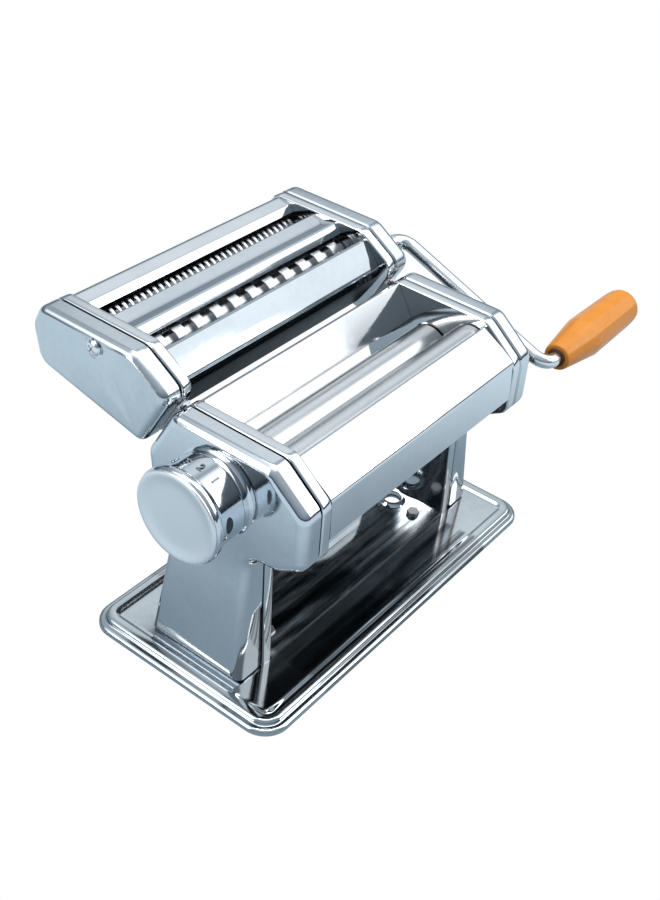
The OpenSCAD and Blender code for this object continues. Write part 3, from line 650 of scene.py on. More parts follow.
# Lighter and rougher copy of polished steel for the crank rod and cap screws: the pale tint is painted
# light, the roughness is the surface itself
ROD_STEEL_PAINTED_LIGHT = PolishedSheet("rod_steel_painted_light", tint=(0.95, 0.97, 0.99), smear=(0.90, 0.92, 0.95),
                          smooth=0.2, dull=0.3, wave=0.05)
# Satin copy of the polished sheet for the knob face: the near-white tint is painted light, the roughness
# is the surface itself
KNOB_FACE_PAINTED_LIGHT = PolishedSheet("knob_face", tint=(0.96, 0.98, 1.0), smear=(0.90, 0.93, 0.96),
                          smooth=0.34, dull=0.44, wave=0.1, dust=0.02)
# Dark tint of the embossed digits: painted shade round the chrome relief
RELIEF_PAINTED_SHADE = PolishedSheet("number_relief_painted_shade", tint=(0.26, 0.30, 0.34), smear=(0.20, 0.23, 0.26), wave=0.0)
ROLL = PolishedSheet("roll_turned", tint=(0.90, 0.91, 0.92), smear=(0.82, 0.84, 0.85),
                     smooth=0.19, dull=0.26, wave=0.03, dust=0.04)
CUTTER = TurnedMetal("cutter_turned", tint=(0.88, 0.89, 0.90), smooth=0.16, dull=0.3)
STEEL = TurnedMetal("plain_steel", tint=(0.60, 0.61, 0.63), shade=(0.42, 0.43, 0.45))
GEAR = TurnedMetal("gear_steel", tint=(0.55, 0.55, 0.57), shade=(0.35, 0.34, 0.33), smooth=0.25)
BRASS = TurnedMetal("block_brass", tint=(0.74, 0.57, 0.28), shade=(0.55, 0.39, 0.18), smooth=0.2)
# Near-black metal: painted shade on the scrapers, the undersides of the sheets and the edges of the cross
# plate, so the gaps read black
DARK_PAINTED_SHADE = TurnedMetal("near_black_painted_shade", tint=(0.10, 0.11, 0.12), shade=(0.06, 0.065, 0.07), smooth=0.4,
                       dull=0.5)
# Near-black oval on the knob band: painted shade standing in for a dark hole in the band
RECESS_PAINTED_SHADE = Moulded("oval_painted_shade", tint=(0.03, 0.035, 0.04), shade=(0.015, 0.015, 0.02))
RUBBER = Moulded("foot_rubber", tint=(0.035, 0.035, 0.04), shade=(0.02, 0.02, 0.022), smooth=0.6,
                 dull=0.8, bump=0.3)
NYLON = Moulded("white_nylon", tint=(0.84, 0.84, 0.81), shade=(0.74, 0.74, 0.70), smooth=0.35)
ORANGE = Moulded("orange_lacquer", tint=(0.87, 0.31, 0.022), shade=(0.83, 0.28, 0.018),
                 smooth=0.3, dull=0.4, coat=0.12, bump=0.05)
BROWN = Moulded("brown_bush", tint=(0.16, 0.06, 0.03), shade=(0.10, 0.04, 0.02), smooth=0.4)


# ---------------------------------------------------------------- mesh tools


@dataclass(frozen=True)
class Place:
    """Where a piece belongs: its body, record slot and the frame nodes that it stands for."""

    body: Body
    slot: str
    nodes: tuple[str, ...] = ()


def shade(mesh: bpy.types.Mesh, angle: float = SMOOTH_TO) -> None:
    """Shades a mesh smooth, with sharp edges where it bends by more than angle."""
    mesh.polygons.foreach_set("use_smooth", [True] * len(mesh.polygons))
    mesh.set_sharp_from_angle(angle=math.radians(angle))


def build(name: str, bm: bmesh.types.BMesh, finish: Finish, place: Place,
          angle: float = SMOOTH_TO) -> bpy.types.Object:
    """Turns a bmesh in millimetres into a placed, dressed piece.

    Args:
        name: the piece's name.
        bm: its shape in millimetres; it is freed.
        finish: its finish.
        place: where it belongs.
        angle: the bend at which an edge is sharp, in degrees.

    Returns:
        The new object.
    """
    bmesh.ops.remove_doubles(bm, verts=bm.verts, dist=0.0005)
    bmesh.ops.recalc_face_normals(bm, faces=bm.faces)
    bmesh.ops.scale(bm, vec=(MM, MM, MM), verts=bm.verts)
    mesh = bpy.data.meshes.new(name)
    bm.to_mesh(mesh)
    bm.free()
    shade(mesh, angle)
    mesh.materials.append(finish.material())
    obj = bpy.data.objects.new(name, mesh)
    bpy.context.scene.collection.objects.link(obj)
    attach(obj, place.body.value)
    if place.nodes:
        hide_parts(*place.nodes)
    LOG.info("%s: %d faces on %s", name, len(mesh.polygons), place.body.value)
    return obj


def part_finish(obj: bpy.types.Object, finish: Finish, chosen: Callable[[Vector], bool]) -> None:
    """Gives some faces of a piece a finish of their own.

    Args:
        obj: the piece.
        finish: their finish.
        chosen: tells from a face's normal whether it is one of them.
    """
    obj.data.materials.append(finish.material())
    for face in obj.data.polygons:
        face.material_index = int(chosen(face.normal))


def looks_down(normal: Vector) -> bool:
    """Tells the underside of a sheet, which is given near-black painted shade."""
    return normal.z < -0.1


def looks_sideways(normal: Vector) -> bool:
    """Tells the cut edge of a level plate, which is given near-black painted shade."""
    return abs(normal.z) < 0.9


def dress(finish: Finish, *nodes: str) -> None:
    """Gives frame nodes that keep their own shape a finish.

    Args:
        finish: the finish.
        *nodes: their names.
    """
    for node in nodes:
        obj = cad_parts[node]
        obj.data.materials.clear()
        obj.data.materials.append(finish.material())
        LOG.info("%s: kept, %s", node, finish.name)


def loft(bm: bmesh.types.BMesh, rings: Sequence[Ring], cap: bool = True,
         closed: bool = True) -> None:
    """Skins rings of equal length.

    Args:
        bm: the mesh to add to.
        rings: the rings in order.
        cap: closes the first and the last ring with a face.
        closed: each ring meets its own start.
    """
    rows = [[bm.verts.new(p) for p in ring] for ring in rings]
    size = len(rows[0])
    reach = size if closed else size - 1
    for a, b in zip(rows, rows[1:]):
        for i in range(reach):
            j = (i + 1) % size
            bm.faces.new((a[i], a[j], b[j], b[i]))
    if cap:
        bm.faces.new(list(reversed(rows[0])))
        bm.faces.new(rows[-1])


def at_x(outline: Sequence[Flat], x: float) -> Ring:
    """Puts a (y, z) outline at x."""
    return [(x, y, z) for y, z in outline]


def quarter(radius: float, steps: int) -> list[Flat]:
    """Steps of an outer edge radius, as (distance back from the face, inset)."""
    return [(radius * (1 - math.sin(a)), radius * (1 - math.cos(a))) for a in fan(math.pi / 2, steps)]


def lathe(bm: bmesh.types.BMesh, profile: Sequence[Flat], centre: Flat, turns: int = 72,
          ripple: Callable[[float, float, float], float] | None = None) -> None:
    """Turns a profile about an axis along X.

    Args:
        bm: the mesh to add to.
        profile: (x, radius) points from one end to the other; a closed profile repeats its start.
        centre: the axis as (y, z).
        turns: points round the axis.
        ripple: factor on the radius at (x, angle, radius), for parts that aren't round.
    """
    rings: list[Ring] = []
    for x, radius in profile:
        ring: Ring = []
        for angle in circle(turns):
            r = max(radius, AXIS_R) * (ripple(x, angle, radius) if ripple else 1.0)
            ring.append((x, centre[0] + r * math.cos(angle), centre[1] + r * math.sin(angle)))
        rings.append(ring)
    loft(bm, rings, cap=profile[0] != profile[-1])


def soft_profile(points: Sequence[Flat], radius: float, steps: int = 3) -> list[Flat]:
    """Rounds the corners of an open lathe profile.

    Args:
        points: its points as (x, radius).
        radius: how far from a corner the rounding starts, at most.
        steps: steps at each corner.

    Returns:
        The points of the softer profile.
    """
    out: list[Flat] = [points[0]]
    for before, at, after in zip(points, points[1:], points[2:]):
        to_before = Vector(before) - Vector(at)
        to_after = Vector(after) - Vector(at)
        room = min(radius, to_before.length * 0.45, to_after.length * 0.45)
        a, b = to_before.normalized(), to_after.normalized()
        if a.length == 0 or b.length == 0 or abs(a.dot(b)) > 0.9999:
            out.append(at)
            continue
        for k in range(steps + 1):
            t = k / steps
            p = Vector(at) + a * room * (1 - t) ** 2 + b * room * t ** 2
            out.append((p.x, p.y))
    out.append(points[-1])
    return out


def sheet_piece(bm: bmesh.types.BMesh, corners: Sequence[Corner], thickness: float,
                half: float) -> None:
    """Adds a bent sheet that runs along X.

    Args:
        bm: the mesh to add to.
        corners: its bends as (y, z, radius) along one face.
        thickness: how far it lies to the left of the path; negative for the right.
        half: half its length.
    """
    path = bent_path(corners)
    outline = path + list(reversed(offset_path(path, thickness)))
    loft(bm, [at_x(outline, -half), at_x(outline, half)])


def carve(obj: bpy.types.Object, tools: Sequence[bmesh.types.BMesh], angle: float = SMOOTH_TO) -> None:
    """Cuts shapes out of a piece.

    Args:
        obj: the piece, placed.
        tools: closed shapes in millimetres; they are freed.
        angle: the bend at which an edge is sharp, in degrees.
    """
    helpers: list[bpy.types.Object] = []
    for bm in tools:
        bmesh.ops.recalc_face_normals(bm, faces=bm.faces)
        bmesh.ops.scale(bm, vec=(MM, MM, MM), verts=bm.verts)
        mesh = bpy.data.meshes.new("tool")
        bm.to_mesh(mesh)
        bm.free()
        helper = bpy.data.objects.new("tool", mesh)
        bpy.context.scene.collection.objects.link(helper)
        helpers.append(helper)
        cut = obj.modifiers.new("cut", "BOOLEAN")
        cut.operation = "DIFFERENCE"
        cut.solver = "EXACT"
        cut.object = helper
    bpy.context.view_layer.update()
    graph = bpy.context.evaluated_depsgraph_get()
    mesh = bpy.data.meshes.new_from_object(obj.evaluated_get(graph))
    obj.modifiers.clear()
    obj.data = mesh
    shade(mesh, angle)
    for helper in helpers:
        bpy.data.objects.remove(helper, do_unlink=True)


def drill(x0: float, x1: float, diameter: float, centre: Flat, turns: int = 48) -> bmesh.types.BMesh:
    """Makes a plain round tool along X.

    Args:
        x0: its start.
        x1: its end.
        diameter: its diameter.
        centre: its axis as (y, z).
        turns: points round it.

    Returns:
        The closed tool.
    """
    bm = bmesh.new()
    lathe(bm, [(x0, diameter / 2), (x1, diameter / 2)], centre, turns)
    return bm


def tube(bm: bmesh.types.BMesh, path: Sequence[Vector], radius: float, turns: int = 32) -> None:
    """Adds a round bar along a path.

    Args:
        bm: the mesh to add to.
        path: its centre line.
        radius: its radius.
        turns: points round it.
    """
    rings: list[Ring] = []
    side = Vector((0, 0, 1))
    for i, at in enumerate(path):
        ahead = (path[min(i + 1, len(path) - 1)] - path[max(i - 1, 0)]).normalized()
        side = (side - ahead * side.dot(ahead)).normalized()
        up = ahead.cross(side)
        rings.append([
            tuple(at + radius * (math.cos(a) * side + math.sin(a) * up)) for a in circle(turns)
        ])
    loft(bm, rings)


def centre(node: str) -> Flat:
    """Middle of a frame node as (y, z), in millimetres."""
    low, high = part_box(node)
    return ((low.y + high.y) / 2 / MM, (low.z + high.z) / 2 / MM)


def span(node: str) -> Flat:
    """Lowest and highest X of a frame node, in millimetres."""
    low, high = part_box(node)
    return (low.x / MM, high.x / MM)


def mirrored(bm: bmesh.types.BMesh, side: Side) -> bmesh.types.BMesh:
    """Turns a right-hand shape into the left-hand one where needed.

    Args:
        bm: the right-hand shape.
        side: the side that it is for.

    Returns:
        The same mesh, on its own side.
    """
    if side is Side.LEFT:
        bmesh.ops.scale(bm, vec=(-1, 1, 1), verts=bm.verts)
    return bm


# ---------------------------------------------------------------- pressed shells


@dataclass(frozen=True)
class Stations:
    """Distances along X from the middle of the machine."""

    plate_in: float = span("side_frame_right")[0]
    rim_out: float = span("side_frame_right")[1]
    cover_in: float = span("cover_right")[0]
    plate_t: float = 2.0


@dataclass(frozen=True)
class PressedShell:
    """A pressed cover: an outline pulled outwards with a round shoulder."""

    outline: tuple[Corner, ...]
    x_in: float
    x_out: float
    shoulder: float = 5.0
    wall: float = 1.2
    lip: float = 0.8
    steps: int = 7

    def mesh(self) -> bmesh.types.BMesh:
        """Makes the right-hand shell, hollow and open on its inner side.

        Returns:
            Its closed mesh.
        """
        bm = bmesh.new()
        inner = [
            (self.x_out - self.wall - back, depth)
            for back, depth in reversed(quarter(self.shoulder - self.wall, 3))
        ]
        outer = [(self.x_out - back, depth) for back, depth in quarter(self.shoulder, self.steps)]
        track = [(x, depth + self.wall) for x, depth in inner]
        track += [(self.x_in, self.wall), (self.x_in, self.lip), (self.x_in + self.lip, 0.0)]
        track += outer
        loft(bm, [at_x(rounded(inset(self.outline, depth)), x) for x, depth in track])
        return bm


@dataclass(frozen=True)
class RimmedPlate:
    """A side plate whose edge is folded outwards all round."""

    outline: tuple[Corner, ...]
    x_in: float
    x_out: float
    plate_t: float
    wall: float = 1.2
    soft: float = 1.0

    def mesh(self) -> bmesh.types.BMesh:
        """Makes the right-hand plate with its rim.

        Returns:
            Its closed mesh.
        """
        bm = bmesh.new()
        track = [(self.x_in + back, depth) for back, depth in reversed(quarter(self.soft, 3))]
        track += [(self.x_out - back, depth) for back, depth in quarter(self.soft, 3)]
        track += [(self.x_out, self.wall), (self.x_in + self.plate_t, self.wall)]
        loft(bm, [at_x(rounded(inset(self.outline, depth)), x) for x, depth in track])
        return bm


def capsule(x0: float, x1: float, diameter: float, at: Flat, travel: Flat) -> bmesh.types.BMesh:
    """Returns a slot-shaped tool along X.

    Args:
        x0: its start.
        x1: its end.
        diameter: its width.
        at: its middle as (y, z).
        travel: half its travel as (y, z).

    Returns:
        The closed tool.
    """
    bm = bmesh.new()
    heading = math.atan2(travel[1], travel[0])
    outline: list[Flat] = []
    for sign in (1, -1):
        for k in range(13):
            angle = heading - math.pi / 2 + math.pi * k / 12 + (0 if sign > 0 else math.pi)
            outline.append((
                at[0] + sign * travel[0] + diameter / 2 * math.cos(angle),
                at[1] + sign * travel[1] + diameter / 2 * math.sin(angle),
            ))
    loft(bm, [at_x(outline, x0), at_x(outline, x1)])
    return bm


# ---------------------------------------------------------------- base


@dataclass
class Base:
    """Pressed base with its beaded rim, cross plate and feet."""

    length: float = 231.8
    width: float = 120.0
    corner: float = 14.0
    stand: float = 1.5
    lip_r: float = 1.9
    bead_r: float = 1.6
    bead_in: float = 3.95
    bead_z: float = 5.0
    top_z: float = 8.0
    deck_z: float = 7.0
    deck_t: float = 1.2
    clamp_at: Flat = (66.0, 0.0)
    clamp_d: float = 10.0
    collar_d: float = 14.0
    collar_h: float = 2.0
    leg_y: Flat = (-28.0, 30.0)
    foot_d: float = 16.0
    foot_at: Flat = (95.9, 40.0)

    def build(self) -> None:
        """Makes every visible piece of the base."""
        self.tray()
        self.cross_plate()
        self.feet()
        dress(STEEL, "base_screws")

    def level(self, depth: float, z: float) -> Ring:
        """Returns the base's outline moved inwards by depth, at height z."""
        plan = rounded(inset(slab(self.length, self.width, self.corner), depth), 12)
        return [(x, y, z) for x, y in plan]

    def tray(self) -> None:
        """Makes the tray with a rounded lip, a step and a raised bead."""
        lip_r, bead_r = self.lip_r, self.bead_r
        round_off = fan(math.pi / 2, 6)
        underside = [(12.4, self.deck_z - self.deck_t), (8.6, self.deck_z - 0.4), (5.6, 5.0),
                     (2.2, 3.7), (1.2, 2.2), (1.2, self.stand), (0.3, self.stand),
                     (0.0, self.stand + 0.3)]
        lip = [(lip_r - lip_r * math.cos(a), self.bead_z - lip_r + lip_r * math.sin(a))
               for a in round_off]
        step = [(3.1, self.bead_z), (3.55, self.bead_z + 0.12), (3.85, self.bead_z + 0.5)]
        bead = [(self.bead_in + bead_r - bead_r * math.cos(a),
                 self.top_z - bead_r + bead_r * math.sin(a)) for a in round_off]
        fall = [(8.2, self.top_z), (9.4, self.top_z - 0.18), (10.4, self.top_z - 0.75),
                (11.3, self.deck_z + 0.04), (12.4, self.deck_z)]
        bm = bmesh.new()
        loft(bm, [self.level(depth, z) for depth, z in underside + lip + step + bead + fall])
        # Darker copy of the polished sheet: painted shade
        tray = build("base_tray", bm, DECK_SHEET_PAINTED_SHADE,
                     Place(Body.MACHINE, "polished_steel", ("base_plate",)), angle=40)
        carve(tray, [self.drill_down(self.clamp_d)], angle=40)

    def drill_down(self, diameter: float) -> bmesh.types.BMesh:
        """Makes an upright round tool at the clamp hole.

        Args:
            diameter: its diameter.

        Returns:
            The closed tool.
        """
        bm = bmesh.new()
        upright(bm, [(0.0, diameter / 2), (self.top_z + 6, diameter / 2)], self.clamp_at)
        return bm

    def cross_plate(self) -> None:
        """Makes the plate between the legs, with the collar of the clamp hole."""
        half = Stations().plate_in - 0.1
        top = self.deck_z + self.deck_t
        soft = 0.12
        y0, y1 = self.leg_y
        bm = bmesh.new()
        plan = [(-half, y0, 0.5), (half, y0, 0.5), (half, y1, 0.5), (-half, y1, 0.5)]
        track = [(0.0, self.deck_z + 0.01), (0.0, top - soft), (soft * 0.3, top - soft * 0.3),
                 (soft, top)]
        loft(bm, [[(x, y, z) for x, y in rounded(inset(plan, d), 3)] for d, z in track])
        # Darker copy of the polished sheet: painted shade
        plate = build("cross_plate", bm, DECK_SHEET_PAINTED_SHADE,
                      Place(Body.MACHINE, "polished_steel", ("bottom_plate",)))
        carve(plate, [self.drill_down(self.clamp_d)])
        # Its sides get near-black painted shade
        part_finish(plate, DARK_PAINTED_SHADE, looks_sideways)
        collar = bmesh.new()
        r_in, r_out = self.clamp_d / 2, self.collar_d / 2
        profile = [(top - 0.6, r_out + 1.4), (top + 0.1, r_out + 0.7), (top + self.collar_h - 0.8, r_out),
                   (top + self.collar_h - 0.2, r_out - 0.3), (top + self.collar_h, r_out - 0.9),
                   (top + self.collar_h, r_in + 0.5), (top + self.collar_h - 0.4, r_in),
                   (top - 0.6, r_in), (top - 0.6, r_out + 1.4)]
        upright(collar, profile, self.clamp_at)
        build("clamp_collar", collar, SHEET, Place(Body.MACHINE, "polished_steel"))

    def feet(self) -> None:
        """Makes the four rubber feet."""
        bm = bmesh.new()
        r, h = self.foot_d / 2, self.deck_z - self.deck_t
        for sx in (-1, 1):
            for sy in (-1, 1):
                upright(bm, [(0.0, 0.0), (0.0, r - 0.8), (0.25, r - 0.25), (0.8, r), (h, r - 0.4),
                             (h, 0.0)], (sx * self.foot_at[0], sy * self.foot_at[1]))
        build("rubber_feet", bm, RUBBER, Place(Body.MACHINE, "foot_rubber", ("base_feet",)))


def upright(bm: bmesh.types.BMesh, profile: Sequence[Flat], at: Flat, turns: int = 48) -> None:
    """Turns a profile of (z, radius) points about an upright axis.

    Args:
        bm: the mesh to add to.
        profile: the points from one end to the other; a closed profile repeats its start.
        at: the axis as (x, y).
        turns: points round the axis.
    """
    rings = [
        [(at[0] + max(r, AXIS_R) * math.cos(a), at[1] + max(r, AXIS_R) * math.sin(a), z)
         for a in circle(turns)]
        for z, r in profile
    ]
    loft(bm, rings, cap=profile[0] != profile[-1])


# ---------------------------------------------------------------- body


@dataclass
class MachineBody:
    """Side plates, chromed covers and sheets that enclose the smooth rolls."""

    deck_z: float = 7.0
    cover_out: float = 94.9
    flare: float = 8.0
    flare_z: float = 79.0
    flare_cuts: int = 24
    flare_ease: float = 0.16
    lip_h: float = 2.6
    foot_lip: float = 0.9
    foot_z: float = 7.9
    seam: float = 0.35
    journal_hole: float = 16.0
    carriage_slot: float = 13.2
    bar_slot: float = 7.0
    bar_off: Flat = (20.0, -12.0)
    socket_hole: float = 14.0
    knob_hole: float = 12.0
    outline: tuple[Corner, ...] = (
        (-28, 7, 0.5), (30, 7, 0.5), (24, 68, 22), (37, 96, 12), (39, 112, 6), (24, 139, 7),
        (-34, 139, 9), (-55, 122, 8), (-55.5, 92, 8), (-42, 84, 12), (-25, 82, 6),
    )
    front: tuple[Corner, ...] = (
        (-55.2, 101, 0), (-54, 123, 3.5), (-34.2, 136.4, 1.3), (-33.0, 135.2, 0),
    )
    hopper: tuple[Corner, ...] = (
        (10.1, 122.05, 0), (20.5, 138.7, 0.8), (22.5, 138.4, 0.9), (36.8, 113, 0),
    )
    at: Stations = field(default_factory=Stations)

    def build(self) -> None:
        """Makes every visible piece of the body."""
        for side in Side:
            self.side_plate(side)
            self.cover(side)
        self.sheets()
        dress(STEEL, "tie_rods", "tie_rod_nuts", "head_rails")
        # Near-black scrapers: painted shade in the gaps by the rolls
        dress(DARK_PAINTED_SHADE, "scraper_front", "scraper_rear")
        dress(NYLON, "roll_bushes", "selector_bush")

    def side_plate(self, side: Side) -> None:
        """Makes a side plate with its folded rim and its journal holes.

        Args:
            side: which one.
        """
        name = "side_frame_" + side.name.lower()
        shape = RimmedPlate(self.outline, self.at.plate_in, self.at.rim_out - self.seam / 2,
                            self.at.plate_t)
        # Lighter copy of the polished sheet: painted light
        plate = build("plate_" + side.name.lower(), mirrored(shape.mesh(), side), SHEET_PAINTED_LIGHT,
                      Place(Body.MACHINE, "polished_steel", (name,)))
        x0, x1 = self.at.plate_in - 1, self.at.rim_out
        knob = centre("selector_shaft")
        half = (-math.cos(ROLL_SLOPE), math.sin(ROLL_SLOPE))
        tools = [
            drill(x0, x1, self.journal_hole, centre("drive_roll")),
            capsule(x0, x1, self.carriage_slot, knob, half),
            capsule(x0, x1, self.bar_slot, (knob[0] + self.bar_off[0], knob[1] + self.bar_off[1]), half),
        ]
        carve(plate, [mirrored(tool, side) for tool in tools])

    def cover(self, side: Side) -> None:
        """Makes a chromed cover whose leg flares out to its foot.

        Args:
            side: which one.
        """
        outline = tuple((y, max(z, self.foot_z), r) for y, z, r in self.outline)
        shell = PressedShell(outline, self.at.cover_in + self.seam, self.cover_out)
        bm = shell.mesh()
        for k in range(self.flare_cuts):
            z = self.foot_z + (self.flare_z - self.foot_z) * ((k + 0.5) / self.flare_cuts) ** 1.6
            bmesh.ops.bisect_plane(bm, geom=bm.verts[:] + bm.edges[:] + bm.faces[:],
                                   plane_co=(0, 0, z), plane_no=(0, 0, 1))
        for v in bm.verts:
            v.co.x += self.flare_at(v.co.x, v.co.z)
        name = "cover_" + side.name.lower()
        cover = build("shell_" + side.name.lower(), mirrored(bm, side), SHEET,
                      Place(Body.MACHINE, "polished_steel", (name,)), angle=38)
        x0, x1 = self.cover_out - 3, self.cover_out + 1
        if side is Side.RIGHT:
            tool = drill(x0, x1, self.socket_hole, centre("drive_roll"))
        else:
            tool = drill(x0, x1, self.knob_hole, centre("selector_shaft"))
        carve(cover, [mirrored(tool, side)], angle=38)

    def flare_at(self, x: float, z: float) -> float:
        """Works out how far a point of the cover moves outwards.

        Args:
            x: its distance from the middle of the machine.
            z: its height.

        Returns:
            The distance.
        """
        share = (x - self.at.cover_in) / (self.cover_out - self.at.cover_in)
        fall = max(0.0, (self.flare_z - z) / (self.flare_z - self.deck_z))
        ease = self.flare_ease
        lean = fall * fall / (2 * ease) if fall < ease else fall - ease / 2
        lip = max(0.0, 1 - (z - self.foot_z) / self.lip_h) ** 2 * self.foot_lip
        return share * (self.flare * lean / (1 - ease / 2) + lip)

    def sheets(self) -> None:
        """Makes the sloping front sheet and the hopper sheet."""
        for name, path, node in (("front_sheet", self.front, "front_panel"),
                                 ("hopper_sheet", self.hopper, "rear_panel")):
            bm = bmesh.new()
            sheet_piece(bm, path, -SHEET_T, self.at.plate_in - SHEET_GAP)
            # Lighter copy of the polished sheet: painted light
            piece = build(name, bm, SHEET_PAINTED_LIGHT, Place(Body.MACHINE, "polished_steel", (node,)))
            # Undersides get near-black painted shade
            part_finish(piece, DARK_PAINTED_SHADE, looks_down)


@dataclass
class SmoothRolls:
    """The two smooth rolls with their journals, gears and sliding carriage."""

    half: float = 75.0
    radius: float = 12.5
    chamfer: float = 0.6

    def build(self) -> None:
        """Makes both rolls and dresses what turns or slides with them."""
        for node, body in (("drive_roll", Body.DRIVE), ("adjust_roll", Body.ADJUST)):
            bm = bmesh.new()
            profile = [(-self.half, 0.0), (-self.half, self.radius - self.chamfer),
                       (-self.half + self.chamfer, self.radius),
                       (self.half - self.chamfer, self.radius),
                       (self.half, self.radius - self.chamfer), (self.half, 0.0)]
            lathe(bm, profile, centre(node), 96)
            build("smooth_" + node, bm, ROLL, Place(body, "roll_aluminium", (node,)))
        dress(STEEL, "drive_journals", "adjust_journals", "carriage_bar")
        dress(GEAR, "drive_gear", "adjust_gear")
        dress(BRASS, "bearing_block_left", "bearing_block_right")


# ---------------------------------------------------------------- knob


@dataclass
class Knob:
    """Thickness knob with its numbered band, on a collar."""

    seat: float = 98.9
    foot: float = 94.9
    face: float = 120.9
    band_r: float = 21.5
    collar_r: float = 21.0
    lip_r: float = 24.0
    lip_in: float = 115.2
    wall: float = 1.5
    web_in: float = 100.1
    web_t: float = 2.0
    pin_r: float = 14.0
    pin_d: float = 4.0
    settings: int = 9
    sweep: float = 180.0
    number_h: float = 4.2
    first_number: float = math.radians(118)
    pointer: float = math.radians(176)
    at: Flat = centre("selector_shaft")
    aim: float = math.pi - ROLL_SLOPE

    def build(self) -> None:
        """Makes the collar, the shell, the face and the numbers."""
        self.collar()
        self.shell()
        self.cap()
        self.numbers()
        dress(STEEL, "selector_shaft", "selector_cam", "knob_spring", "knob_screw")

    def collar(self) -> None:
        """Makes the collar on the cover, with the pin that the knob locks on."""
        bm = bmesh.new()
        r = self.collar_r
        profile = [(self.foot, 6.05), (self.foot, r + 1.3), (self.foot + 0.5, r + 0.5),
                   (self.foot + 1.2, r), (self.seat - 0.7, r), (self.seat - 0.2, r - 0.2),
                   (self.seat, r - 0.7), (self.seat, 6.05), (self.foot, 6.05)]
        lathe(bm, profile, self.at, 96)
        pin = (self.at[0] + self.pin_r * math.cos(self.aim),
               self.at[1] + self.pin_r * math.sin(self.aim))
        tip = self.web_in + self.web_t - 0.4
        lathe(bm, [(self.seat, 0.0), (self.seat, self.pin_d / 2), (tip - 0.4, self.pin_d / 2),
                   (tip, self.pin_d / 2 - 0.4), (tip, 0.0)], pin, 24)
        build("collar", mirrored(bm, Side.LEFT), SHEET,
              Place(Body.MACHINE, "polished_steel", ("knob_collar",)))

    def shell(self) -> None:
        """Makes the band with its skirt, web and rolled lip."""
        r, w = self.band_r, self.wall
        x0 = self.seat + 0.3
        web_out = self.web_in + self.web_t
        outer = soft_profile([
            (x0, r - 0.6), (x0 + 0.5, r), (self.lip_in - 1.6, r), (self.lip_in, r + 0.9),
            (self.lip_in + 0.5, self.lip_r - 0.4), (self.lip_in + 1.4, self.lip_r),
            (self.face - 2.4, self.lip_r), (self.face - 1.55, self.lip_r - 0.7),
        ], 0.6)
        inner = [(self.face - 1.55, r - w), (web_out, r - w), (web_out, 4.1), (self.web_in, 4.1),
                 (self.web_in, r - w), (x0, r - w), (x0, r - 0.6)]
        bm = bmesh.new()
        lathe(bm, outer + inner, self.at, 120)
        shell = build("knob_band", mirrored(bm, Side.LEFT), SHEET,
                      Place(Body.KNOB, "polished_steel", ("knob_shell",)))
        slot = bmesh.new()
        loft(slot, [at_x(self.arc_slot(), self.web_in - 1), at_x(self.arc_slot(), web_out + 1)])
        carve(shell, [mirrored(slot, Side.LEFT)])

    def arc_slot(self) -> list[Flat]:
        """Works out the outline of the slot that the pin runs in.

        Returns:
            Its points as (y, z).
        """
        half = self.pin_d / 2 + 0.4
        over = 12
        turns = [math.radians(-over + (self.sweep + 2 * over) * k / 30) for k in range(31)]
        near = [(self.pin_r - half, t) for t in turns]
        far = [(self.pin_r + half, t) for t in reversed(turns)]
        return [(self.at[0] + r * math.cos(self.aim - t), self.at[1] + r * math.sin(self.aim - t))
                for r, t in near + far]

    def cap(self) -> None:
        """Makes the face, which is dished inside a rounded rim."""
        r = self.lip_r - 0.8
        x = self.face
        rim = [(x - 2.5, 0.0), (x - 2.5, self.band_r - self.wall - 0.1),
               (x - 1.5, self.band_r - self.wall - 0.1), (x - 1.5, r), (x - 0.9, r + 0.15)]
        arc = [(x - 0.9 + 0.9 * math.sin(a), r + 0.15 - 1.5 * (1 - math.cos(a)))
               for a in fan(math.pi / 2, 6)[1:]]
        dish = [(x - 0.05, r - 2.2), (x - 0.3, r - 3.4), (x - 0.75, r - 5.4), (x - 1.0, r - 8.5),
                (x - 1.1, r - 13), (x - 1.15, 0.0)]
        bm = bmesh.new()
        lathe(bm, rim + arc + dish, self.at, 120)
        # Near-white tint of the face: painted light
        build("knob_face", mirrored(bm, Side.LEFT), KNOB_FACE_PAINTED_LIGHT,
              Place(Body.KNOB, "polished_steel", ("knob_cap",)), angle=50)

    def numbers(self) -> None:
        """Embosses the setting numbers on the band in a dark tint that is painted shade, and lays a
        near-black oval that is painted shade of a dark hole in the band.
        """
        bm = bmesh.new()
        middle = (self.seat + self.lip_in) / 2
        step = math.radians(self.sweep / (self.settings - 1))
        for i in range(self.settings):
            self.wrap(bm, str(i + 1), self.first_number - i * step, middle)
        # Dark digits: painted shade
        build("knob_numbers", bm, RELIEF_PAINTED_SHADE, Place(Body.KNOB, "polished_steel"), angle=60)
        # Near-black oval: painted shade of a dark hole in the band
        mark = bmesh.new()
        self.oval(mark, self.pointer, middle + 2.4, 2.2, 4.4)
        build("knob_pointer", mark, RECESS_PAINTED_SHADE, Place(Body.KNOB, "polished_steel"), angle=60)

    def on_band(self, angle: float, x: float, lift: float) -> Spot:
        """Returns a point on the band at an angle, at a distance x from the middle."""
        r = self.band_r + lift
        return (-x, self.at[0] + r * math.cos(angle), self.at[1] + r * math.sin(angle))

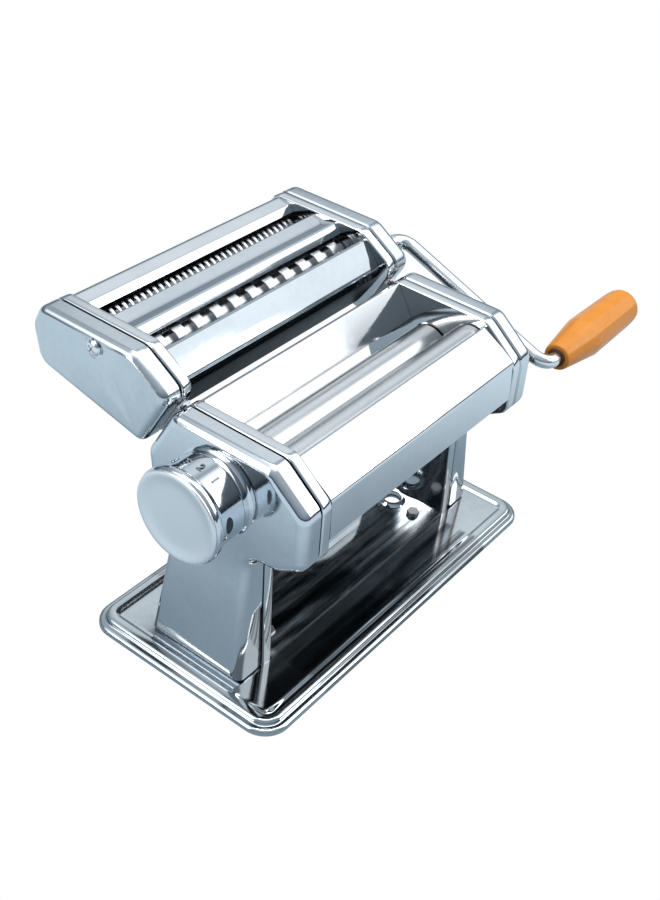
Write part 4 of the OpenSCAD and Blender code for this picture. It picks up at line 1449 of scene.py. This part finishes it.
    def wrap(self, bm: bmesh.types.BMesh, digit: str, angle: float, x: float) -> None:
        """Wraps one digit round the band.

        Args:
            bm: the mesh to add to.
            digit: the digit.
            angle: where its middle lies.
            x: the middle of the band.
        """
        curve = bpy.data.curves.new("digit", "FONT")
        curve.body = digit
        curve.size = self.number_h / 0.72
        curve.extrude = 0.45
        curve.bevel_depth = 0.12
        curve.resolution_u = 4
        curve.align_x = "CENTER"
        curve.align_y = "CENTER"
        holder = bpy.data.objects.new("digit", curve)
        bpy.context.scene.collection.objects.link(holder)
        bpy.context.view_layer.update()
        graph = bpy.context.evaluated_depsgraph_get()
        mesh = bpy.data.meshes.new_from_object(holder.evaluated_get(graph))
        bpy.data.objects.remove(holder, do_unlink=True)
        start = len(bm.verts)
        bm.from_mesh(mesh)
        bm.verts.ensure_lookup_table()
        for v in bm.verts[start:]:
            v.co = Vector(self.on_band(angle + v.co.x / self.band_r, x - v.co.y, v.co.z * 0.8))
        bpy.data.meshes.remove(mesh)

    def oval(self, bm: bmesh.types.BMesh, angle: float, x: float, half_w: float,
             half_l: float) -> None:
        """Lays a thin domed oval on the band.

        Args:
            bm: the mesh to add to.
            angle: where its middle lies.
            x: its middle along the axis.
            half_w: half its width, along the axis.
            half_l: half its length, round the band.
        """
        rings: list[Ring] = []
        for share, lift in ((1.0, -0.2), (1.0, 0.08), (0.9, 0.16), (0.6, 0.2)):
            rings.append([
                self.on_band(angle + share * half_l * math.sin(a) / self.band_r,
                             x + share * half_w * math.cos(a), lift)
                for a in circle(32)
            ])
        loft(bm, rings)


# ---------------------------------------------------------------- cutter head


@dataclass
class CutterHead:
    """Lift-off head with its caps, sheets and stripper combs."""

    plate_t: float = 1.5
    shoulder: float = 4.5
    outline: tuple[Corner, ...] = (
        (42.79, 112.39, 5), (110, 127, 9), (114, 147, 8), (108, 159, 7), (48.5, 159, 10),
        (25.12, 144.2, 8),
    )
    rear: tuple[Corner, ...] = (
        (111.8, 129, 0), (112.4, 146.5, 4), (107.2, 158.2, 5.5), (96.5, 156.4, 2.0), (94, 153, 0),
    )
    divider: tuple[Corner, ...] = (
        (61, 152.5, 0), (62.5, 155.5, 1.6), (65.5, 157, 2.4), (72.5, 155.8, 12), (80.5, 157, 1.5),
        (82.2, 153, 0),
    )
    nose: tuple[Corner, ...] = (
        (45.5, 117.5, 0), (34.6, 137, 3), (34.6, 142.6, 4), (38, 147, 5), (44.8, 154.2, 1.0),
        (46.6, 154.6, 1.0), (48.4, 151.5, 0),
    )
    screw_at: Flat = (71.5, 152.3)
    driven_hole: float = 13.0
    mate_hole: float = 10.4
    socket_hole: float = 12.6
    cap_out: float = 94.9
    seam: float = 0.35
    at: Stations = field(default_factory=Stations)

    def build(self) -> None:
        """Makes every visible piece of the head."""
        for side in Side:
            self.plate(side)
            self.cap(side)
            self.screw(side)
        for name, path, thickness, finish, node in (
            # Rear sheet in the lighter copy of the polished sheet: painted light
            ("head_rear_sheet", self.rear, SHEET_T, SHEET_PAINTED_LIGHT, "head_rear_panel"),
            ("head_divider_sheet", self.divider, -SHEET_T, SHEET, "head_divider"),
            # Nose sheet in the darker copy of the polished sheet: painted shade
            ("head_nose_sheet", self.nose, -SHEET_T, GUIDE_SHEET_PAINTED_SHADE, "head_front_panel"),
        ):
            bm = bmesh.new()
            sheet_piece(bm, path, thickness, self.at.plate_in - SHEET_GAP)
            piece = build(name, bm, finish, Place(Body.HEAD, "polished_steel", (node,)))
            # Undersides get near-black painted shade
            part_finish(piece, DARK_PAINTED_SHADE, looks_down)
        dress(STEEL, "head_tie_rods", "head_hooks")
        dress(NYLON, "head_bushes", "wide_combs", "fine_combs")

    def plate(self, side: Side) -> None:
        """Makes an end plate of the head with its folded rim.

        Args:
            side: which one.
        """
        name = "head_plate_" + side.name.lower()
        shape = RimmedPlate(self.outline, self.at.plate_in, self.at.rim_out - self.seam / 2,
                            self.plate_t)
        # Lighter copy of the polished sheet: painted light
        plate = build("head_end_" + side.name.lower(), mirrored(shape.mesh(), side), SHEET_PAINTED_LIGHT,
                      Place(Body.HEAD, "polished_steel", (name,)))
        tools = [
            drill(self.at.plate_in - 1, self.at.rim_out, diameter, centre(node))
            for node, diameter in (("wide_cutter_front", self.driven_hole),
                                   ("wide_cutter_rear", self.mate_hole),
                                   ("fine_cutter_front", self.driven_hole),
                                   ("fine_cutter_rear", self.mate_hole))
        ]
        carve(plate, [mirrored(tool, side) for tool in tools])

    def cap(self, side: Side) -> None:
        """Makes an end cap with the dished seat of its screw.

        Args:
            side: which one.
        """
        shell = PressedShell(self.outline, self.at.cover_in + self.seam, self.cap_out, self.shoulder)
        # Darker tint of the caps: painted shade
        cap = build("head_cap_shell_" + side.name.lower(), mirrored(shell.mesh(), side), CAP_SHEET_PAINTED_SHADE,
                    Place(Body.HEAD, "polished_steel", ("head_cap_" + side.name.lower(),)), angle=38)
        seat = bmesh.new()
        lathe(seat, [(94.2, 4.5), (94.5, 5.6), (94.95, 6.4)], self.screw_at, 48)
        tools = [seat]
        if side is Side.RIGHT:
            for node in ("wide_cutter_front", "fine_cutter_front"):
                tools.append(drill(self.cap_out - 2.9, self.cap_out + 1.1, self.socket_hole,
                                   centre(node)))
        carve(cap, [mirrored(tool, side) for tool in tools], angle=38)

    def screw(self, side: Side) -> None:
        """Makes a cross-head cap screw.

        Args:
            side: the cap that it holds.
        """
        bm = bmesh.new()
        lathe(bm, [(78, 0.0), (78, 2.0), (94.3, 2.0), (94.3, 4.0), (95.3, 4.0), (96.0, 3.3),
                   (96.4, 2.0), (96.5, 0.0)], self.screw_at, 40)
        nodes = ("head_cap_screws",) if side is Side.LEFT else ()
        # Pale tint of the screw: painted light
        screw = build("cap_screw_" + side.name.lower(), mirrored(bm, side), ROD_STEEL_PAINTED_LIGHT,
                      Place(Body.HEAD, "screw_chrome", nodes), angle=40)
        tools = []
        for turn in (0.6, 0.6 + math.pi / 2):
            tool = bmesh.new()
            bmesh.ops.create_cube(tool, size=1.0)
            bmesh.ops.scale(tool, vec=(2.0, 4.4, 0.8), verts=tool.verts)
            bmesh.ops.rotate(tool, matrix=Matrix.Rotation(turn, 3, "X"), verts=tool.verts)
            bmesh.ops.translate(tool, vec=(96.4, *self.screw_at), verts=tool.verts)
            tools.append(mirrored(tool, side))
        carve(screw, tools, angle=40)


@dataclass
class CutterRolls:
    """The four ringed cutter rolls and their gears."""

    outer: float = 9.0
    core: float = 6.2
    half: float = 75.0
    end_gap: float = 1.5
    wide_ring: float = 6.6
    fine_ring: float = 2.1
    ring_gap: float = 0.1
    edge: float = 0.25
    socket_in: float = 80.4
    socket_out: float = 94.4
    socket_d: float = 8.2

    def build(self) -> None:
        """Makes the four rolls."""
        for node, body, ring, row in (
            ("wide_cutter_front", Body.WIDE_FRONT, self.wide_ring, 0),
            ("wide_cutter_rear", Body.WIDE_REAR, self.wide_ring, 1),
            ("fine_cutter_front", Body.FINE_FRONT, self.fine_ring, 0),
            ("fine_cutter_rear", Body.FINE_REAR, self.fine_ring, 1),
        ):
            self.roll(node, body, ring, row)
        dress(GEAR, "wide_gear_front", "wide_gear_rear", "fine_gear_front", "fine_gear_rear")

    def roll(self, node: str, body: Body, ring: float, row: int) -> None:
        """Makes one roll.

        Args:
            node: the frame node that it stands for.
            body: the body that it turns with.
            ring: width of one ring.
            row: 0 for a driven roll, 1 for its mate, whose rings fill the other's gaps.
        """
        journal = 5.3 if row == 0 else 4.0
        left, right = span(node)
        profile: list[Flat] = [(left, 0.0), (left, journal), (-self.half, journal),
                               (-self.half, self.core)]
        count = int((self.half - self.end_gap) // ring)
        for i in range(-count, count + 1):
            if (i + row) % 2 == 1:
                x0, x1 = (i - 0.5) * ring + self.ring_gap, (i + 0.5) * ring - self.ring_gap
                profile += [(x0, self.core), (x0, self.outer - self.edge),
                            (x0 + self.edge, self.outer), (x1 - self.edge, self.outer),
                            (x1, self.outer - self.edge), (x1, self.core)]
        profile += [(self.half, self.core), (self.half, journal), (right, journal), (right, 0.0)]
        bm = bmesh.new()
        lathe(bm, profile, centre(node), 48)
        roll = build("rings_" + node, bm, CUTTER, Place(body, "roll_aluminium", (node,)), angle=30)
        if row == 0:
            tool = drill(self.socket_in, self.socket_out + 1, self.socket_d, centre(node))
            carve(roll, [tool], angle=30)


# ---------------------------------------------------------------- crank


@dataclass
class Crank:
    """Bent crank rod with its turning grip."""

    rod_r: float = 4.0
    tip: float = 81.0
    arm_x: float = 114.9
    arm: float = 108.0
    fall: float = math.radians(21.0)
    bend_r: float = 9.0
    grip_in: float = 126.9
    grip_l: float = 79.0
    grip_r: float = 12.0
    flats: int = 10
    bush_l: float = 12.0
    axis: Flat = centre("wide_cutter_front")

    @property
    def way(self) -> Vector:
        """Unit vector along the arm, away from the head."""
        return Vector((0, -math.cos(self.fall), -math.sin(self.fall)))

    @property
    def grip_at(self) -> Flat:
        """Axis of the grip as (y, z)."""
        return (self.axis[0] + self.arm * self.way.y, self.axis[1] + self.arm * self.way.z)

    def build(self) -> None:
        """Makes the rod, the bush and the grip."""
        self.rod()
        self.bush()
        self.grip()
        dress(STEEL, "crank_washer")

    def rod(self) -> None:
        """Makes the rod along its bent centre line."""
        r = self.bend_r
        a0 = Vector((0, *self.axis))
        path = [a0 + Vector((x, 0, 0)) for x in (self.tip, self.tip + 0.5, self.arm_x - r)]
        path += self.bend(a0 + Vector((self.arm_x - r, 0, 0)) + self.way * r, -self.way,
                          Vector((1, 0, 0)))
        path += [a0 + Vector((self.arm_x, 0, 0)) + self.way * (self.arm * 0.5)]
        path += self.bend(a0 + Vector((self.arm_x + r, 0, 0)) + self.way * (self.arm - r),
                          Vector((-1, 0, 0)), self.way)
        end = self.grip_in + self.grip_l - 10
        path += [a0 + Vector((end, 0, 0)) + self.way * self.arm]
        bm = bmesh.new()
        tube(bm, path, self.rod_r, 40)
        # Pale tint of the rod: painted light
        build("crank_bar", bm, ROD_STEEL_PAINTED_LIGHT, Place(Body.CRANK, "polished_steel", ("crank_rod",)),
              angle=40)

    def bend(self, middle: Vector, start: Vector, finish: Vector) -> list[Vector]:
        """Works out a quarter bend.

        Args:
            middle: its centre.
            start: unit vector from the centre to its first point.
            finish: unit vector from the centre to its last point.

        Returns:
            Its points.
        """
        return [
            middle + self.bend_r * (math.cos(t) * start + math.sin(t) * finish)
            for t in fan(math.pi / 2, 12)
        ]

    def bush(self) -> None:
        """Makes the dark bush in the small end of the grip."""
        x = self.grip_in
        profile = [(x - 0.4, 4.1), (x - 0.4, 5.1), (x, 5.45), (x + self.bush_l - 0.1, 5.45),
                   (x + self.bush_l - 0.1, 4.1), (x - 0.4, 4.1)]
        bm = bmesh.new()
        lathe(bm, profile, self.grip_at, 48)
        build("grip_end_bush", bm, BROWN, Place(Body.GRIP, "brown_plastic", ("grip_bush",)))

    def grip(self) -> None:
        """Makes the grip: a cone, then flats, then a rounded end."""
        x, length, r = self.grip_in, self.grip_l, self.grip_r
        small = r * 0.6
        cone = length * 0.36
        deep = x + length - 8
        bore = [(deep, 0.0), (deep, 4.5), (x + 15, 4.5), (x + 15, 6.3), (x + 12.05, 6.3),
                (x + 12.05, 5.5), (x, 5.5)]
        skin = soft_profile([
            (x, 5.5), (x, small), (x + 1.0, small + 0.6), (x + cone, r - 0.15), (x + cone + 1.2, r),
            (x + length - 9, r - 0.7), (x + length - 3.2, r - 1.0), (x + length - 1.0, r - 2.0),
            (x + length, r - 4.0), (x + length, 2.0),
        ], 1.0)
        bm = bmesh.new()
        lathe(bm, bore + skin[1:] + [(x + length - 0.1, 0.0)], self.grip_at, 120, self.flat_sides)
        build("grip_handle", bm, ORANGE, Place(Body.GRIP, "orange_plastic", ("grip_shell",)),
              angle=24)

    def flat_sides(self, x: float, angle: float, radius: float) -> float:
        """Works out the factor that turns the round grip into one with flats.

        Args:
            x: place along the grip.
            angle: angle round it.
            radius: radius of the round grip there.

        Returns:
            The factor on the radius.
        """
        if radius < self.grip_r * 0.55:
            return 1.0
        along = (x - self.grip_in) / self.grip_l
        start = min(1.0, max(0.0, (along - 0.34) / 0.05))
        end = min(1.0, max(0.0, (0.985 - along) / 0.06))
        step = 2 * math.pi / self.flats
        off = (angle % step) - step / 2
        flat = math.cos(step / 2) / math.cos(off)
        return 1.0 + (flat - 1.0) * start * end


# ---------------------------------------------------------------- studio


@dataclass(frozen=True)
class SoftBox:
    """A soft rectangular light that points at a target."""

    name: str
    at: Spot
    target: Spot
    size: Flat
    power: float
    tint: tuple[float, float, float] = (1.0, 1.0, 1.0)

    def build(self) -> None:
        """Makes the light."""
        data = bpy.data.lights.new(self.name, "AREA")
        data.shape = "RECTANGLE"
        data.size, data.size_y = self.size
        data.energy = self.power
        data.color = self.tint
        lamp = bpy.data.objects.new(self.name, data)
        lamp.location = self.at
        heading = Vector(self.target) - Vector(self.at)
        lamp.rotation_euler = heading.to_track_quat("-Z", "Y").to_euler()
        bpy.context.scene.collection.objects.link(lamp)


@dataclass(frozen=True)
class Glow:
    """A soft bright or dark patch of the studio's air, seen in the plating."""

    heading: Spot
    inner: float
    outer: float
    level: float


@dataclass
class Studio:
    """Pale floor, soft light and the camera."""

    floor_half: float = 8.0
    camera_at: Spot = (-0.4317, -0.2935, 0.4722)
    forward: Spot = (0.6600, 0.4512, -0.6007)
    down: Spot = (-0.4354, -0.4219, -0.7953)
    lens: float = 51.2
    # Floor colours seen only in reflections: painted reflection, darker near the machine as painted
    # shade, and dimmed on later bounces as painted shade
    painted_reflection_near: tuple[float, float, float] = (0.25, 0.32, 0.37)
    painted_reflection_far: tuple[float, float, float] = (0.62, 0.74, 0.82)
    floor_reach: Flat = (0.12, 0.34)
    paint: tuple[float, float, float] = (0.5, 0.52, 0.54)
    painted_bounce_shade: float = 0.94
    painted_bounce_shade_from: Flat = (-0.13, -0.09)
    low_air: tuple[float, float, float] = (0.05, 0.06, 0.07)
    mid_air: tuple[float, float, float] = (0.27, 0.33, 0.38)
    high_air: tuple[float, float, float] = (0.52, 0.58, 0.63)
    glows: tuple[Glow, ...] = (
        Glow((0.65, -0.41, 0.64), 20, 34, 1.25),
        Glow((-0.62, 0.44, 0.65), 12, 26, 1.3),
        Glow((0.0, 0.1, 1.0), 16, 34, 0.7),
        Glow((0.65, 0.50, 0.55), 6, 20, 0.45),
    )
    boxes: tuple[SoftBox, ...] = (
        SoftBox("top_light", (0.2, 0.1, 1.5), (0, 0, 0.08), (0.9, 0.9), 7.0),
        SoftBox("left_light", (-1.5, 0.6, 0.6), (0, 0, 0.1), (0.7, 0.7), 5.0),
        SoftBox("front_light", (0.9, -1.3, 0.8), (0.1, 0, 0.1), (0.7, 0.7), 4.0),
    )

    def build(self) -> None:
        """Makes the floor, lights, world and camera."""
        self.floor()
        self.world()
        for box in self.boxes:
            box.build()
        self.camera()

    def floor(self) -> None:
        """Makes the floor, white to the eye; in reflections it glows with a painted reflection that is
        darker near the machine and on later bounces, as painted shade.
        """
        bm = bmesh.new()
        bmesh.ops.create_grid(bm, x_segments=1, y_segments=1, size=self.floor_half)
        mesh = bpy.data.meshes.new("floor")
        bm.to_mesh(mesh)
        bm.free()
        floor = bpy.data.objects.new("floor", mesh)
        bpy.context.scene.collection.objects.link(floor)
        paint = bpy.data.materials.new("floor_paint")
        paint.use_nodes = True
        n = Nodes(paint.node_tree)
        shader = n.add("ShaderNodeBsdfPrincipled")
        shader.inputs["Base Color"].default_value = (*self.paint, 1)
        shader.inputs["Roughness"].default_value = 0.9
        place = n.add("ShaderNodeTexCoord")
        reach = n.add("ShaderNodeVectorMath", {"operation": "LENGTH"})
        n.feed(reach.inputs[0], place.outputs["Object"])
        share = n.ramp(reach.outputs["Value"], *self.floor_reach)
        rays = n.add("ShaderNodeLightPath")
        axes = n.add("ShaderNodeSeparateXYZ", Vector=place.outputs["Object"])
        inner = n.ramp(axes.outputs["X"], *self.painted_bounce_shade_from)
        bounce_shade_mask = n.math("MULTIPLY", n.math("GREATER_THAN", rays.outputs["Ray Depth"], 1.5), inner)
        # Glossy rays see the floor glow: painted reflection, darker near the machine and almost black on
        # later bounces except far to the left, as painted shade
        seen = n.add("ShaderNodeEmission",
                     Strength=n.math("SUBTRACT", 1.0, n.math("MULTIPLY", bounce_shade_mask, self.painted_bounce_shade)),
                     Color=n.blend(share, (*self.painted_reflection_near, 1), (*self.painted_reflection_far, 1)))
        white = n.add("ShaderNodeEmission", Color=(1.0, 1.0, 1.0, 1.0), Strength=1.0)
        mirror = n.add("ShaderNodeMixShader")
        n.feed(mirror.inputs[0], rays.outputs["Is Glossy Ray"])
        n.feed(mirror.inputs[1], shader.outputs["BSDF"])
        n.feed(mirror.inputs[2], seen.outputs["Emission"])
        eye = n.add("ShaderNodeMixShader")
        n.feed(eye.inputs[0], rays.outputs["Is Camera Ray"])
        n.feed(eye.inputs[1], mirror.outputs[0])
        n.feed(eye.inputs[2], white.outputs["Emission"])
        n.feed(n.add("ShaderNodeOutputMaterial").inputs["Surface"], eye.outputs[0])
        mesh.materials.append(paint)

    def world(self) -> None:
        """Makes air that is dark low down and lighter overhead, with soft glows."""
        world = bpy.data.worlds.new("studio_air")
        world.use_nodes = True
        n = Nodes(world.node_tree)
        place = n.add("ShaderNodeTexCoord")
        height = n.add("ShaderNodeSeparateXYZ", Vector=place.outputs["Generated"])
        low = n.ramp(height.outputs["Z"], 0.0, 0.35)
        high = n.ramp(height.outputs["Z"], 0.3, 0.95)
        tone = n.blend(low, (*self.low_air, 1), (*self.mid_air, 1))
        tone = n.blend(high, tone, (*self.high_air, 1))
        for glow in self.glows:
            facing = n.add("ShaderNodeVectorMath", {"operation": "DOT_PRODUCT"})
            n.feed(facing.inputs[0], place.outputs["Generated"])
            n.feed(facing.inputs[1], tuple(Vector(glow.heading).normalized()))
            patch = n.ramp(facing.outputs["Value"], math.cos(math.radians(glow.outer)),
                           math.cos(math.radians(glow.inner)), 0.0, glow.level)
            tone = self.lift(n, tone, patch)
        rays = n.add("ShaderNodeLightPath")
        depth = n.ramp(rays.outputs["Ray Depth"], 1.5, 3.5, 0.0, 0.75)
        seen = rays.outputs["Is Camera Ray"]
        strength = n.math("MAXIMUM", n.math("SUBTRACT", 1.0, depth), seen)
        tone = n.blend(seen, tone, (1.0, 1.0, 1.0, 1.0))
        sky = n.add("ShaderNodeBackground", Color=tone, Strength=strength)
        n.feed(n.add("ShaderNodeOutputWorld").inputs["Surface"], sky.outputs["Background"])
        bpy.context.scene.world = world

    @staticmethod
    def lift(n: Nodes, tone: object, patch: object) -> bpy.types.NodeSocket:
        """Adds a white patch to the air's colour.

        Args:
            n: the world's node placer.
            tone: the air's colour.
            patch: the patch's brightness.

        Returns:
            The sum.
        """
        add = n.add("ShaderNodeVectorMath", {"operation": "ADD"})
        n.feed(add.inputs[0], tone)
        white = n.add("ShaderNodeCombineXYZ", X=patch, Y=patch, Z=patch)
        n.feed(add.inputs[1], white.outputs[0])
        return add.outputs["Vector"]

    def camera(self) -> None:
        """Makes the camera at the viewing angle."""
        data = bpy.data.cameras.new("camera")
        data.lens = self.lens
        data.clip_start, data.clip_end = 0.02, 60
        camera = bpy.data.objects.new("camera", data)
        back = -Vector(self.forward).normalized()
        up = -Vector(self.down)
        up = (up - back * up.dot(back)).normalized()
        right = up.cross(back)
        turn = Matrix((right, up, back)).transposed().to_4x4()
        camera.matrix_world = Matrix.Translation(self.camera_at) @ turn
        bpy.context.scene.collection.objects.link(camera)
        bpy.context.scene.camera = camera


def main() -> None:
    """Builds the machine and its studio in order."""
    logging.basicConfig(level=logging.INFO, format="%(name)s: %(message)s")
    for assembly in (Base(), MachineBody(), SmoothRolls(), Knob(), CutterHead(), CutterRolls(),
                     Crank()):
        LOG.info("building %s", type(assembly).__name__)
        assembly.build()
    Studio().build()
    bpy.context.scene.view_settings.view_transform = "Standard"


if __name__ == "__main__":
    main()
